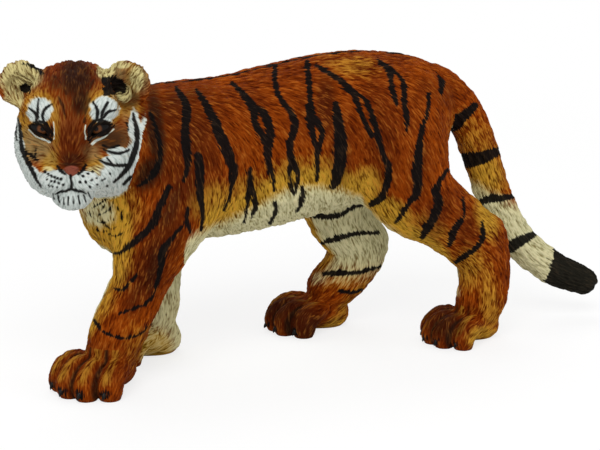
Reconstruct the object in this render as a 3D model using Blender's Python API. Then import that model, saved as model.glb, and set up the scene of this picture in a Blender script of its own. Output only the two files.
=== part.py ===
"""A walking tiger figurine, moulded in one piece and painted.

The animal walks towards -X with its head turned towards -Y, and its tail hangs and sweeps out towards +X.
Flesh is laid on the skeleton as tubes and balls, which are fused, smoothed and cut flat at the soles.
Metres, +Z up. The origin is under the middle of the figurine, on the surface that it stands on.
"""
import bpy
import bmesh
from math import cos, radians, sin
from mathutils import Matrix, Vector

MM = 0.001

# Trunk, in millimetres: where the shoulders, the waist and the hips stand, and how thick the trunk is there
SHOULDER_X = -29.0
SHOULDER_HEIGHT = 46.0
SHOULDER_RADIUS = 17.2
RIBS_RADIUS = 17.4
WAIST_X = 2.0
WAIST_HEIGHT = 49.9
WAIST_RADIUS = 17.6
HIP_X = 21.6
HIP_HEIGHT = 51.2
HIP_RADIUS = 17.2
RUMP_RADIUS = 12.8
CHEST_RADIUS = 12.5
TRUNK_NARROWING = 1.2
WITHERS_HEIGHT = 55.2
CROUP_HEIGHT = 56.6

# Legs, in millimetres: half the width between the legs of a pair, and the thickness of each stretch
SHOULDER_HALF_WIDTH = 9.0
HIP_HALF_WIDTH = 7.0
FORE_KNEE_HEIGHT = 24.0
STIFLE_HEIGHT = 37.4
HOCK_HEIGHT = 25.0
ANKLE_HEIGHT = 8.5
UPPER_FORE_RADIUS = 9.4
FOREARM_RADIUS = 7.2
WRIST_RADIUS = 5.7
THIGH_RADIUS = 10.0
SHIN_RADIUS = 7.4
HOCK_RADIUS = 6.6
SHANK_RADIUS = 5.7
LEFT_FORE_REACH = 19.2
RIGHT_FORE_REACH = 2.8
LEFT_HIND_REACH = 20.0
RIGHT_HIND_REACH = 7.0

# Paws, in millimetres
FORE_PAW_SIZE = 1.12
HIND_PAW_SIZE = 1.0
PAW_HALF_WIDTH = 5.4
PAW_LENGTH = 6.2
PAW_HEIGHT = 4.4
TOE_SPACING = 3.4
TOE_RADIUS = 2.2
KNUCKLE_HEIGHT = 6.6
CURLED_TOE_RADIUS = 2.1
SOLE_CUT = 1.3

# Tail, in millimetres
TAIL_ROOT_HEIGHT = 58.6
TAIL_ROOT_RADIUS = 6.0
TAIL_RADIUS = 4.1
TAIL_TIP_RADIUS = 3.2
TAIL_TIP_X = 73.8
TAIL_TIP_HEIGHT = 8.8
TAIL_TIP_SWING = 4.6

# Head, in millimetres and degrees: the middle of the skull, and how far the head is turned and lowered
HEAD_X = -55.4
HEAD_Y = -7.0
HEAD_HEIGHT = 56.6
HEAD_TURN = 66.0
HEAD_DIP = 6.0
SKULL_HALF_WIDTH = 11.4
RIGHT_RUFF_HALF_WIDTH = 6.6
LEFT_RUFF_HALF_WIDTH = 8.2
MUZZLE_LENGTH = 10.9
MUZZLE_HALF_WIDTH = 5.4
CHIN_DROP = 10.2
EYE_SPACING = 6.1
EYE_HEIGHT = 3.8
EYE_RADIUS = 2.5
EAR_SPACING = 11.0
EAR_RISE = 9.9
EAR_RADIUS = 4.8
EAR_THICKNESS = 4.4
EAR_RIM = 1.3
NOSE_HALF_WIDTH = 2.7
NOSE_LIFT = -2.7

# Fineness of the fused skin and what is added where it was softened, in millimetres, and about how many
# triangles the skin keeps
FLESH_GRAIN = 1.0
SKIN_GRAIN = 0.75
BODY_FILL = 0.45
HEAD_FILL = 0.25
SKIN_FILL = 0.08
KEPT_TRIANGLES = 11000
FLOOR_DEPTH = 10.0
FLOOR_SPAN = 400.0

FUR_ORANGE = (0.40, 0.10, 0.022, 1.0)
FUR_ROUGHNESS = 0.55


def clear_scene():
    for thing in list(bpy.data.objects):
        bpy.data.objects.remove(thing, do_unlink=True)


def painted(name, colour, roughness):
    """A painted plastic surface."""
    material = bpy.data.materials.new(name)
    material.use_nodes = True
    shader = material.node_tree.nodes["Principled BSDF"]
    shader.inputs["Base Color"].default_value = colour
    shader.inputs["Roughness"].default_value = roughness
    shader.inputs["Metallic"].default_value = 0.0
    return material


def facing(turn, dip=0.0, lean=0.0):
    """Rotation whose columns are the right, forward and up of something that faces -X turned towards -Y."""
    a = radians(turn)
    b = radians(dip)
    forward = Vector((-cos(a) * cos(b), -sin(a) * cos(b), -sin(b)))
    right = Vector((-sin(a), cos(a), 0.0))
    rotation = Matrix((right, forward, right.cross(forward))).transposed()
    return rotation @ Matrix.Rotation(radians(lean), 3, "Y")


def ball(centre, radii, rotation=None):
    """An ellipsoid, from a scaled sphere."""
    turned = rotation if rotation is not None else Matrix.Identity(3)
    placed = Matrix.Translation(Vector(centre)) @ turned.to_4x4() @ Matrix.Diagonal((*radii, 1.0))
    shape = bmesh.new()
    bmesh.ops.create_uvsphere(shape, u_segments=28, v_segments=18, radius=1.0, matrix=placed)
    mesh = bpy.data.meshes.new("ball")
    shape.to_mesh(mesh)
    shape.free()
    return [mesh]


def tube(stations, narrowing=1.0):
    """A limb: a round curve through (x, y, z, radius) stations with a ball on each end."""
    curve = bpy.data.curves.new("tube", "CURVE")
    curve.dimensions = "3D"
    curve.bevel_depth = 1.0
    curve.bevel_resolution = 6
    curve.resolution_u = 5
    curve.use_fill_caps = True
    spline = curve.splines.new("BEZIER")
    spline.bezier_points.add(len(stations) - 1)
    spline.radius_interpolation = "CARDINAL"
    for point, (x, y, z, radius) in zip(spline.bezier_points, stations):
        point.co = (x, y * narrowing, z)
        point.radius = radius
        point.handle_left_type = "AUTO"
        point.handle_right_type = "AUTO"
    carrier = bpy.data.objects.new("tube", curve)
    bpy.context.scene.collection.objects.link(carrier)
    meshes = [evaluated(carrier)]
    bpy.data.objects.remove(carrier, do_unlink=True)
    for x, y, z, radius in (stations[0], stations[-1]):
        meshes += ball((x, y * narrowing, z), (radius, radius, radius))
    for mesh in meshes:
        mesh.transform(Matrix.Diagonal((1.0, 1.0 / narrowing, 1.0, 1.0)))
    return meshes


def evaluated(thing):
    """The mesh of an object as its modifiers leave it."""
    bpy.context.view_layer.update()
    graph = bpy.context.evaluated_depsgraph_get()
    return bpy.data.meshes.new_from_object(thing.evaluated_get(graph))


def joined(name, meshes):
    """One object that holds all the meshes, still as overlapping shells."""
    shape = bmesh.new()
    for mesh in meshes:
        shape.from_mesh(mesh)
    together = bpy.data.meshes.new(name)
    shape.to_mesh(together)
    shape.free()
    thing = bpy.data.objects.new(name, together)
    bpy.context.scene.collection.objects.link(thing)
    return thing


def fused(meshes, grain, softness, fill):
    """Overlapping shells made into one closed skin with softened creases, and fill added all over for what the
    softening takes away."""
    thing = joined("flesh", meshes)
    remesh = thing.modifiers.new("Fuse", "REMESH")
    remesh.mode = "VOXEL"
    remesh.voxel_size = grain
    smooth = thing.modifiers.new("Soften", "SMOOTH")
    smooth.factor = 0.5
    smooth.iterations = softness
    plump = thing.modifiers.new("Plump", "DISPLACE")
    plump.mid_level = 0.0
    plump.strength = fill
    skin = evaluated(thing)
    bpy.data.objects.remove(thing, do_unlink=True)
    return [skin]


def carved(meshes, cutters):
    """A closed skin with the cutters' shapes taken out of it."""
    thing = joined("carved", meshes)
    cutter = joined("cutter", cutters)
    cutter.hide_render = True
    cutter.display_type = "WIRE"
    cut = thing.modifiers.new("Carve", "BOOLEAN")
    cut.operation = "DIFFERENCE"
    cut.solver = "EXACT"
    cut.object = cutter
    skin = evaluated(thing)
    bpy.data.objects.remove(thing, do_unlink=True)
    bpy.data.objects.remove(cutter, do_unlink=True)
    return [skin]


def trunk():
    """Chest, ribs, waist and hips, narrower than they are deep, with withers, croup and brisket."""
    back = [
        (SHOULDER_X - 8.5, 0, SHOULDER_HEIGHT - 2.4, CHEST_RADIUS),
        (SHOULDER_X, 0, SHOULDER_HEIGHT, SHOULDER_RADIUS),
        (SHOULDER_X + 13.0, 0, SHOULDER_HEIGHT + 1.4, RIBS_RADIUS),
        (WAIST_X, 0, WAIST_HEIGHT, WAIST_RADIUS),
        (HIP_X - 1.6, 0, HIP_HEIGHT, HIP_RADIUS),
        (HIP_X + 3.9, 0, HIP_HEIGHT - 0.3, RUMP_RADIUS),
    ]
    meshes = tube(back, TRUNK_NARROWING)
    meshes += ball((SHOULDER_X - 13.2, 0.0, SHOULDER_HEIGHT - 7.6), (10.4, 9.9, 11.7))
    for side in (-1, 1):
        meshes += ball((SHOULDER_X + 3.0, side * 6.0, WITHERS_HEIGHT), (8.8, 6.2, 7.0))
        meshes += ball((HIP_X + 0.4, side * 6.0, CROUP_HEIGHT), (11.0, 8.0, 9.2))
    return meshes


def neck():
    """The neck, from between the shoulders to the skull."""
    stations = [
        (SHOULDER_X + 4.0, 0, SHOULDER_HEIGHT + 3.0, 13.2),
        ((SHOULDER_X + HEAD_X) / 2 + 5.0, HEAD_Y * 0.3, (SHOULDER_HEIGHT + HEAD_HEIGHT) / 2 + 0.5, CHEST_RADIUS),
        (HEAD_X + 5.4, HEAD_Y + 1.0, HEAD_HEIGHT - 2.6, 11.0),
    ]
    return tube(stations)


def left_fore_leg():
    """The fore leg that steps out ahead."""
    paw_x = SHOULDER_X - LEFT_FORE_REACH
    out = -SHOULDER_HALF_WIDTH
    return tube([
        (SHOULDER_X, out, SHOULDER_HEIGHT + 2.0, UPPER_FORE_RADIUS + 0.2),
        (SHOULDER_X - 5.5, out - 1.5, SHOULDER_HEIGHT - 6.0, UPPER_FORE_RADIUS),
        (SHOULDER_X - 11.6, out - 1.6, FORE_KNEE_HEIGHT + 7.5, FOREARM_RADIUS + 0.8),
        (paw_x + 5.0, out - 0.4, FORE_KNEE_HEIGHT, FOREARM_RADIUS),
        (paw_x + 3.4, out + 0.6, ANKLE_HEIGHT + 9.5, WRIST_RADIUS + 0.5),
        (paw_x + 1.3, out + 1.4, ANKLE_HEIGHT + 4.1, WRIST_RADIUS + 0.2),
        (paw_x, out + 1.6, ANKLE_HEIGHT, WRIST_RADIUS - 0.2),
    ]) + ball((SHOULDER_X - 9.0, out - 2.5, FORE_KNEE_HEIGHT + 7.0), (4.4, 4.2, 5.2))


def right_fore_leg():
    """The fore leg that stands under the shoulder."""
    paw_x = SHOULDER_X - RIGHT_FORE_REACH
    out = SHOULDER_HALF_WIDTH
    return tube([
        (SHOULDER_X + 1.0, out, SHOULDER_HEIGHT + 2.0, UPPER_FORE_RADIUS + 0.4),
        (SHOULDER_X - 1.5, out + 1.8, SHOULDER_HEIGHT - 7.0, UPPER_FORE_RADIUS - 0.3),
        (SHOULDER_X - 1.2, out + 2.6, FORE_KNEE_HEIGHT + 7.0, FOREARM_RADIUS + 0.4),
        (paw_x + 0.8, out + 3.0, FORE_KNEE_HEIGHT - 1.0, WRIST_RADIUS + 0.6),
        (paw_x + 0.8, out + 3.2, ANKLE_HEIGHT + 6.5, WRIST_RADIUS),
        (paw_x, out + 3.6, ANKLE_HEIGHT, WRIST_RADIUS - 0.2),
    ]) + ball((SHOULDER_X + 2.5, out + 2.5, FORE_KNEE_HEIGHT + 7.0), (4.2, 4.0, 5.0))


def left_hind_leg():
    """The hind leg that pushes off behind."""
    paw_x = HIP_X + LEFT_HIND_REACH
    out = -HIP_HALF_WIDTH
    return tube([
        (HIP_X - 0.6, out, HIP_HEIGHT + 2.8, THIGH_RADIUS - 0.4),
        (HIP_X - 0.6, out - 2.4, HIP_HEIGHT - 5.7, THIGH_RADIUS + 0.2),
        (HIP_X + 1.2, out - 3.8, STIFLE_HEIGHT, THIGH_RADIUS - 0.5),
        (HIP_X + 8.6, out - 4.6, (STIFLE_HEIGHT + HOCK_HEIGHT) / 2 + 0.2, SHIN_RADIUS + 0.2),
        (paw_x - 3.4, out - 4.4, HOCK_HEIGHT, HOCK_RADIUS + 0.3),
        (paw_x + 0.2, out - 4.0, HOCK_HEIGHT - 6.0, SHANK_RADIUS + 0.2),
        (paw_x + 0.7, out - 3.8, ANKLE_HEIGHT + 4.5, SHANK_RADIUS),
        (paw_x, out - 3.6, ANKLE_HEIGHT, SHANK_RADIUS - 0.2),
    ]) + ball((paw_x + 1.6, out - 4.2, HOCK_HEIGHT + 0.2), (3.6, 3.2, 4.4))


def right_hind_leg():
    """The hind leg that swings forward under the belly."""
    paw_x = HIP_X - RIGHT_HIND_REACH
    out = HIP_HALF_WIDTH
    return tube([
        (HIP_X, out, HIP_HEIGHT + 1.8, THIGH_RADIUS - 0.4),
        (HIP_X - 2.6, out + 2.5, HIP_HEIGHT - 7.2, THIGH_RADIUS + 0.2),
        (HIP_X - 7.3, out + 4.0, STIFLE_HEIGHT - 2.4, THIGH_RADIUS - 1.0),
        (HIP_X - 5.3, out + 4.6, HOCK_HEIGHT + 1.8, SHIN_RADIUS),
        (paw_x + 6.0, out + 4.6, HOCK_HEIGHT - 5.2, HOCK_RADIUS + 0.1),
        (paw_x + 3.5, out + 5.2, ANKLE_HEIGHT + 5.0, SHANK_RADIUS + 0.3),
        (paw_x, out + 6.4, ANKLE_HEIGHT + 1.0, SHANK_RADIUS - 0.2),
    ]) + ball((paw_x + 9.8, out + 4.5, HOCK_HEIGHT - 4.6), (3.2, 3.0, 3.8))


def paw(x, y, turn, size, stretch):
    """A paw with a heel pad and four curled toes side by side; x and y lie under its middle.

    Its forms reach SOLE_CUT below the floor, where the finished figurine is cut flat.
    """
    way = facing(turn)

    def at(side, ahead, up):
        return Vector((x, y, 0.0)) + size * (way @ Vector((side, ahead * stretch, up)))

    sizes = Vector((PAW_HALF_WIDTH, PAW_LENGTH, PAW_HEIGHT)) * size
    meshes = ball(at(0.0, -2.2, PAW_HEIGHT - SOLE_CUT), sizes, way)
    meshes += ball(at(0.0, -6.6, PAW_HEIGHT * 0.78 - SOLE_CUT), sizes * 0.78, way)
    for place in (-1.5, -0.5, 0.5, 1.5):
        side = place * TOE_SPACING
        ahead = 3.0 if abs(place) < 1.0 else 0.6
        splay = facing(turn - 7.0 * place)
        reach = size * (splay @ Vector((0.0, 2.4, 0.0)))
        meshes += tube([
            (*at(side * 0.9, ahead - 3.4, KNUCKLE_HEIGHT), TOE_RADIUS * size * 0.8),
            (*at(side, ahead - 0.3, KNUCKLE_HEIGHT), TOE_RADIUS * size),
            (*(at(side, ahead, KNUCKLE_HEIGHT - 3.2) + reach), TOE_RADIUS * size),
            (*(at(side, ahead, CURLED_TOE_RADIUS - SOLE_CUT) + reach), CURLED_TOE_RADIUS * size),
        ])
    return meshes


def paws():
    """All four paws, each under its own leg."""
    fore_x = SHOULDER_X - LEFT_FORE_REACH
    meshes = paw(fore_x - 4.6, -SHOULDER_HALF_WIDTH + 0.8, 34.0, FORE_PAW_SIZE, 1.0)
    fore_x = SHOULDER_X - RIGHT_FORE_REACH
    meshes += paw(fore_x - 5.2, SHOULDER_HALF_WIDTH + 2.8, 4.0, FORE_PAW_SIZE, 1.0)
    hind_x = HIP_X + LEFT_HIND_REACH
    meshes += paw(hind_x - 5.6, -HIP_HALF_WIDTH - 2.6, 10.0, HIND_PAW_SIZE, 1.08)
    hind_x = HIP_X - RIGHT_HIND_REACH
    meshes += paw(hind_x - 7.2, HIP_HALF_WIDTH + 7.6, 4.0, HIND_PAW_SIZE * 1.06, 1.08)
    return meshes


def tail():
    """The tail: it drops from the croup and sweeps back to a blunt tip."""
    drop = TAIL_ROOT_HEIGHT - TAIL_TIP_HEIGHT
    sweep = TAIL_TIP_X - HIP_X
    path = ((0.06, -0.02, 0.0), (0.22, 0.002, 0.0), (0.33, 0.06, 0.0), (0.415, 0.165, 0.0), (0.485, 0.335, 0.0),
            (0.568, 0.56, 0.04), (0.69, 0.775, -0.07), (0.855, 0.925, -0.48), (1.0, 1.0, -1.0))
    radii = [TAIL_ROOT_RADIUS + 1.0, TAIL_ROOT_RADIUS, TAIL_RADIUS + 0.6] + [TAIL_RADIUS] * 5 + [TAIL_TIP_RADIUS]
    stations = []
    for (along, down, swing), radius in zip(path, radii):
        x = HIP_X + along * sweep
        stations.append((x, swing * TAIL_TIP_SWING, TAIL_ROOT_HEIGHT - down * drop, radius))
    return tube(stations)


def head_point(side, ahead, up):
    """A place on the head, from the middle of the skull."""
    return Vector((HEAD_X, HEAD_Y, HEAD_HEIGHT)) + facing(HEAD_TURN, HEAD_DIP) @ Vector((side, ahead, up))


def skull():
    """Skull, cheeks, ruff, brow, muzzle and chin, before the sockets are cut."""
    way = facing(HEAD_TURN, HEAD_DIP)
    at = head_point
    meshes = ball(at(0, -1.0, 3.2), (SKULL_HALF_WIDTH, 12.0, 12.0), way)
    for side, ruff in ((-1, LEFT_RUFF_HALF_WIDTH), (1, RIGHT_RUFF_HALF_WIDTH)):
        meshes += ball(at(side * ruff, -1.8, -2.2), (6.2, 7.2, 8.6), way)
        meshes += ball(at(side * (ruff - 2.3), 1.6, -7.4), (5.4, 6.4, 5.6), way)
        meshes += ball(at(side * (SKULL_HALF_WIDTH - 4.1), 4.6, -1.2), (4.4, 5.0, 5.4), way)
        meshes += ball(at(side * MUZZLE_HALF_WIDTH, 7.2, -5.6), (3.8, 4.6, 3.8), way)
        meshes += ball(at(side * EYE_SPACING, 7.2, EYE_HEIGHT + 4.4), (4.0, 3.0, 2.8), way)
    meshes += ball(at(0, MUZZLE_LENGTH - 2.5, -5.2), (MUZZLE_HALF_WIDTH, 6.2, 4.8), way)
    meshes += tube([
        (*at(0, 5.4, 8.0), 4.6),
        (*at(0, 8.4, 3.6), 4.2),
        (*at(0, MUZZLE_LENGTH + 0.6, NOSE_LIFT + 1.8), 3.2),
    ])
    meshes += ball(at(0, MUZZLE_LENGTH - 2.1, -CHIN_DROP), (4.2, 4.4, 3.4), way)
    return meshes


def ears():
    """Two round ears, cupped forward: the whole ears, and the shapes that hollow them."""
    shells = []
    hollows = []
    for side in (-1, 1):
        way = facing(HEAD_TURN + side * 14.0, HEAD_DIP - 6.0)
        inner = EAR_RADIUS - EAR_RIM
        shells += ball(head_point(side * EAR_SPACING, -3.4, EAR_RISE), (EAR_RADIUS, EAR_THICKNESS / 2, EAR_RADIUS), way)
        hollows += ball(head_point(side * EAR_SPACING, -1.2, EAR_RISE - 0.2), (inner, EAR_THICKNESS / 2, inner), way)
    return shells, hollows


def face():
    """The features that stay crisp: muzzle pads, nose and eyeballs, and the sockets cut before the eyes go in."""
    way = facing(HEAD_TURN, HEAD_DIP)
    features = ball(head_point(0, MUZZLE_LENGTH + 3.2, NOSE_LIFT), (NOSE_HALF_WIDTH, 1.5, 1.7), way)
    sockets = []
    for side in (-1, 1):
        features += ball(head_point(side * 2.9, MUZZLE_LENGTH, -5.9), (3.5, 4.0, 2.9), way)
        features += ball(head_point(side * EYE_SPACING, 7.9, EYE_HEIGHT), (EYE_RADIUS,) * 3, way)
        slant = facing(HEAD_TURN + side * 14.0, HEAD_DIP, side * -18.0)
        sockets += ball(head_point(side * EYE_SPACING, 11.4, EYE_HEIGHT - 0.2), (3.1, 2.6, 1.9), slant)
    return features, sockets


def head():
    """The whole head: smooth forms first, then sockets and ear hollows, then the crisp features."""
    shells, hollows = ears()
    features, sockets = face()
    soft = fused(skull(), FLESH_GRAIN, 6, HEAD_FILL)
    whole = fused(soft + shells, SKIN_GRAIN, 2, SKIN_FILL)
    return carved(whole, sockets + hollows) + features


def body():
    """Trunk, neck and legs, fused while the creases between them are softened."""
    return fused(
        trunk() + neck() + left_fore_leg() + right_fore_leg() + left_hind_leg() + right_hind_leg(),
        FLESH_GRAIN, 14, BODY_FILL)


def tiger():
    """The finished figurine: one closed skin with flat soles, centred over its footprint."""
    skin = joined("skin", fused(body() + head() + tail() + paws(), SKIN_GRAIN, 3, SKIN_FILL))
    thinning = skin.modifiers.new("Thin", "DECIMATE")
    thinning.ratio = min(1.0, KEPT_TRIANGLES / (2 * len(skin.data.polygons)))
    thinning.use_collapse_triangulate = True
    floor = joined("floor", [])
    slab = bmesh.new()
    place = Matrix.Translation((0.0, 0.0, -FLOOR_DEPTH / 2)) @ Matrix.Diagonal((FLOOR_SPAN, FLOOR_SPAN, FLOOR_DEPTH, 1.0))
    bmesh.ops.create_cube(slab, size=1.0, matrix=place)
    slab.to_mesh(floor.data)
    slab.free()
    floor.hide_render = True
    floor.display_type = "WIRE"
    soles = skin.modifiers.new("Soles", "BOOLEAN")
    soles.operation = "DIFFERENCE"
    soles.solver = "EXACT"
    soles.object = floor
    mesh = evaluated(skin)
    bpy.data.objects.remove(skin, do_unlink=True)
    bpy.data.objects.remove(floor, do_unlink=True)
    low = [min(v.co[i] for v in mesh.vertices) for i in range(3)]
    high = [max(v.co[i] for v in mesh.vertices) for i in range(3)]
    middle = Vector(((low[0] + high[0]) / 2, (low[1] + high[1]) / 2, 0.0))
    mesh.transform(Matrix.Scale(MM, 4) @ Matrix.Translation(-middle))
    mesh.name = "tiger"
    mesh.materials.clear()
    mesh.materials.append(painted("painted_fur", FUR_ORANGE, FUR_ROUGHNESS))
    mesh.shade_smooth()
    figurine = bpy.data.objects.new("tiger", mesh)
    bpy.context.scene.collection.objects.link(figurine)
    return figurine


clear_scene()
tiger()
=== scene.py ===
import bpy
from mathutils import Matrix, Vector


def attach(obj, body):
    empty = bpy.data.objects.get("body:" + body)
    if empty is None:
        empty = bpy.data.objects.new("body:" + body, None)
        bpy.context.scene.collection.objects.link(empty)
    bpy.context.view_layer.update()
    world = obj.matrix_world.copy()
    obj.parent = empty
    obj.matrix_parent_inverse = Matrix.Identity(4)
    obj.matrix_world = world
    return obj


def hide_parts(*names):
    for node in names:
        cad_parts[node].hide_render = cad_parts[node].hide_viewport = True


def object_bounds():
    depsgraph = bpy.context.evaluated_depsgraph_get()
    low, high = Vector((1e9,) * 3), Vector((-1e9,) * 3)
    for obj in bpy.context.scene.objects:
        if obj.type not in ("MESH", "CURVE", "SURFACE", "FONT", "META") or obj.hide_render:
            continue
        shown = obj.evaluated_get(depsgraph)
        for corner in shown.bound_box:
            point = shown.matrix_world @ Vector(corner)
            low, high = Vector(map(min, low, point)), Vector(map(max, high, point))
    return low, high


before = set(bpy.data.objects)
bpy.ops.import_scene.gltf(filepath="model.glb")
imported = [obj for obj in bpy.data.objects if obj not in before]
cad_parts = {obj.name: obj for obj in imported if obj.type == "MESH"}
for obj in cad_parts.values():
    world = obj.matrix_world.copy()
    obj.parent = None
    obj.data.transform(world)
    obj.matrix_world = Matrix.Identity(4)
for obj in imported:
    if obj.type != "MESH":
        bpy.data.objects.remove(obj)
CAD_LOW, CAD_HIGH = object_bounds()

from concurrent.futures import ThreadPoolExecutor
from math import cos, radians, sin

import bpy
import numpy as np
from mathutils import Vector

# A walking tiger figurine: one moulded skin with fur relief and a painted coat, two eyes and sixteen claws.
# Lengths are millimetres in the sculptor's frame until a mesh is made. The animal walks towards -X.
MM = 0.001
REAL = np.float32

# Trunk and legs: where the shoulders and the hips stand, and how thick each stretch is
SHOULDER_X = -29.0
SHOULDER_HEIGHT = 46.0
HIP_X = 21.6
HIP_HEIGHT = 51.2
TRUNK_NARROWING = 1.2

# Head: the middle of the skull, and how far it is turned from -X towards -Y, and lowered, in degrees
HEAD_AT = np.array([-55.4, -7.0, 56.6])
HEAD_TURN = 66.0
HEAD_DIP = 6.0
EYE_SIDE = 5.85
EYE_AHEAD = 6.95
EYE_UP = 4.25
EYE_RADIUS = 2.95
EYE_SLANT = 24.0
NOSE_AT = (0.3, 14.2, -2.9)
NOSE_RADII = (2.9, 2.6, 1.9)
EYE_SPREAD = 8.0
EYE_CAP_DEGREES = 80.0
IRIS_DEGREES = 27.0
PUPIL_DEGREES = 7.5

# Grid of the skin, and the fur that is pressed into it
SKIN_STEP = 0.28
STRAND_WIDTH = 0.38
STRAND_LENGTH = 1.6
STRAND_SHARE = 0.85
TUFT_WIDTH = 0.8
TUFT_LENGTH = 2.6
TUFT_SHARE = 0.35
FUR_DEPTH = 0.14
FACE_THINNER = 0.085
PAW_THINNER = 0.045
LAY_ON_SPINE = 22.0
LAY_ON_FLANK = 70.0

# The photograph's camera, in the sculptor's frame; a pixel below is one of a 600 x 450 picture
VIEW_AZIMUTH = -25.0
VIEW_ELEVATION = 14.0
VIEW_DISTANCE = 454.5
VIEW_TARGET = np.array([0.0, 0.0, 29.5])
VIEW_LENS = 120.0
FILM_WIDTH = 36.0
PICTURE = (600, 450)
PIXELS_PER_MM = VIEW_LENS / FILM_WIDTH * PICTURE[0] / VIEW_DISTANCE

# The studio, in metres and watts: each lamp's place, size and power; and half the floor's width
WORLD_LIGHT = 0.5
LAMPS = (
    ("key", (-0.35, -0.55, 0.65), 0.5, 4.6),
    ("fill", (0.6, -0.5, 0.35), 0.5, 1.2),
    ("top", (0.1, 0.45, 0.7), 0.6, 1.6),
)
FLOOR_HALF = 1.5


# Distance fields: a form is a function of points that gives how far outside it they are

def soft_min(a, b, k):
    """The smaller of two distances, rounded over a width k where they are nearly equal."""
    h = np.clip(0.5 + 0.5 * (b - a) / k, 0, 1)
    return b + (a - b) * h - k * h * (1 - h)


def facing(turn, dip=0.0, lean=0.0):
    """Rows left, forward and up of something that faces -X, turned towards -Y, lowered and leaned."""
    a, b, c = np.radians([turn, dip, lean])
    ahead = np.array([-cos(a) * cos(b), -sin(a) * cos(b), -sin(b)])
    left = np.array([sin(a), -cos(a), 0.0])
    up = np.cross(ahead, left)
    return np.array([left * cos(c) + up * sin(c), ahead, up * cos(c) - left * sin(c)])


def smooth_path(stations, per):
    """Catmull-Rom curve through rows of numbers, with per steps between two rows."""
    p = np.array(stations, float)
    p = np.vstack([2 * p[0] - p[1], p, 2 * p[-1] - p[-2]])
    t = np.linspace(0, 1, per, endpoint=False)[:, None]
    rows = []
    for a, b, c, d in zip(p[:-3], p[1:-2], p[2:-1], p[3:]):
        bend = (2 * a - 5 * b + 4 * c - d) * t**2 + (3 * b - a - 3 * c + d) * t**3
        rows.append(0.5 * (2 * b + (c - a) * t + bend))
    return np.vstack(rows + [p[-2:-1]])


class Form:
    """One lump of flesh, or one cut into it, with the box that it lies in."""

    def __init__(self, distance, low, high, blend, cut=False, flow=None):
        self.distance = distance
        self.low = np.array(low, REAL)
        self.high = np.array(high, REAL)
        self.blend = REAL(blend)
        self.cut = cut
        self.flow = flow


def limb(stations, blend=3.0, per=4, squash=(1, 1, 1), inner=0.6, cut=False):
    """Round cones end to end through (x, y, z, radius) stations: the distance to the nearest point of each
    axis, less the radius there; narrow limbs are measured in a stretched space."""
    path = smooth_path(stations, per)
    stretch = np.array(squash, float)
    centres, radii = path[:, :3] * stretch, path[:, 3]
    shrink = REAL(1 / stretch.max())

    def pieces(points):
        q = points * stretch.astype(REAL)
        for a, b, ra, rb in zip(centres[:-1], centres[1:], radii[:-1], radii[1:]):
            axis = (b - a).astype(REAL)
            t = np.clip(((q - a.astype(REAL)) @ axis) / REAL(axis @ axis + 1e-9), 0, 1)
            from_axis = np.linalg.norm(q - a.astype(REAL) - t[:, None] * axis, axis=1)
            yield from_axis - (REAL(ra) + REAL(rb - ra) * t), axis

    def distance(points):
        best = None
        for away, _ in pieces(points):
            best = away if best is None else soft_min(best, away, REAL(inner))
        return best * shrink

    def flow(points):
        total = np.zeros((len(points), 3), REAL)
        for away, axis in pieces(points):
            total += np.exp(-np.clip(away, -20, 60) / REAL(1.5))[:, None] * (axis / stretch.astype(REAL))
        return total / (np.linalg.norm(total, axis=1, keepdims=True) + REAL(1e-12))

    low = ((centres - radii[:, None]) / stretch).min(0)
    high = ((centres + radii[:, None]) / stretch).max(0)
    return Form(distance, low, high, blend, cut, flow)


def lump(centre, radii, way=None, blend=3.0, cut=False):
    """An ellipsoid: k0 (k0 - 1) / k1, where k0 and k1 are the lengths of the point over the radii once and
    over the radii squared."""
    turned = np.eye(3) if way is None else np.array(way)
    middle, sizes = np.array(centre, float), np.array(radii, float)
    reach = np.sqrt(((turned.T * sizes) ** 2).sum(1))
    rows, sizes32, middle32 = turned.astype(REAL), sizes.astype(REAL), middle.astype(REAL)

    def distance(points):
        q = (points - middle32) @ rows.T
        k0 = np.linalg.norm(q / sizes32, axis=1)
        k1 = np.linalg.norm(q / (sizes32 * sizes32), axis=1) + REAL(1e-6)
        return k0 * (k0 - 1) / k1

    return Form(distance, middle - reach, middle + reach, blend, cut)


def field(points, forms):
    """All the forms joined softly in turn, and the cuts taken out; forms far away are passed over."""
    total = np.full(len(points), 60.0, REAL)
    low, high = points.min(0), points.max(0)
    for form in forms:
        reach = form.blend + 3.0
        if (low > form.high + reach).any() or (high < form.low - reach).any():
            continue
        away = form.distance(points)
        total = -soft_min(-total, away, form.blend) if form.cut else soft_min(total, away, form.blend)
    return total


# The animal

def trunk():
    """Chest, ribs, waist and hips, narrower than deep, with the neck, brisket, withers and croup."""
    s, h = SHOULDER_X, HIP_X
    forms = [
        limb([(s - 8.5, 0, 43.6, 12.5), (s, 0, SHOULDER_HEIGHT, 16.3), (s + 13, 0, 47.4, 17.5),
              (0, 0, 49.6, 17.7), (h - 10.6, 0, 51.0, 17.3), (h - 1.6, 0, HIP_HEIGHT, 15.9),
              (h + 3.9, 0, 50.9, 11.8)],
             4, squash=(1, TRUNK_NARROWING, 1)),
        limb([(s + 4, 0, 49, 13.2), (s - 8, -2.0, 51.8, 12.3), (HEAD_AT[0] + 5.4, -6.0, 54, 11.0)], 5),
        lump((s - 12.8, 0.0, 38.8), (9.6, 9.8, 11.4), blend=5),
    ]
    for side in (-1, 1):
        forms.append(lump((s + 3, side * 6.0, 55.2), (8, 5, 5.6), blend=5))
        forms.append(lump((h + 1.4, side * 6.3, 56.4), (9.5, 6.4, 7.6), blend=6))
    return forms


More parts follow.
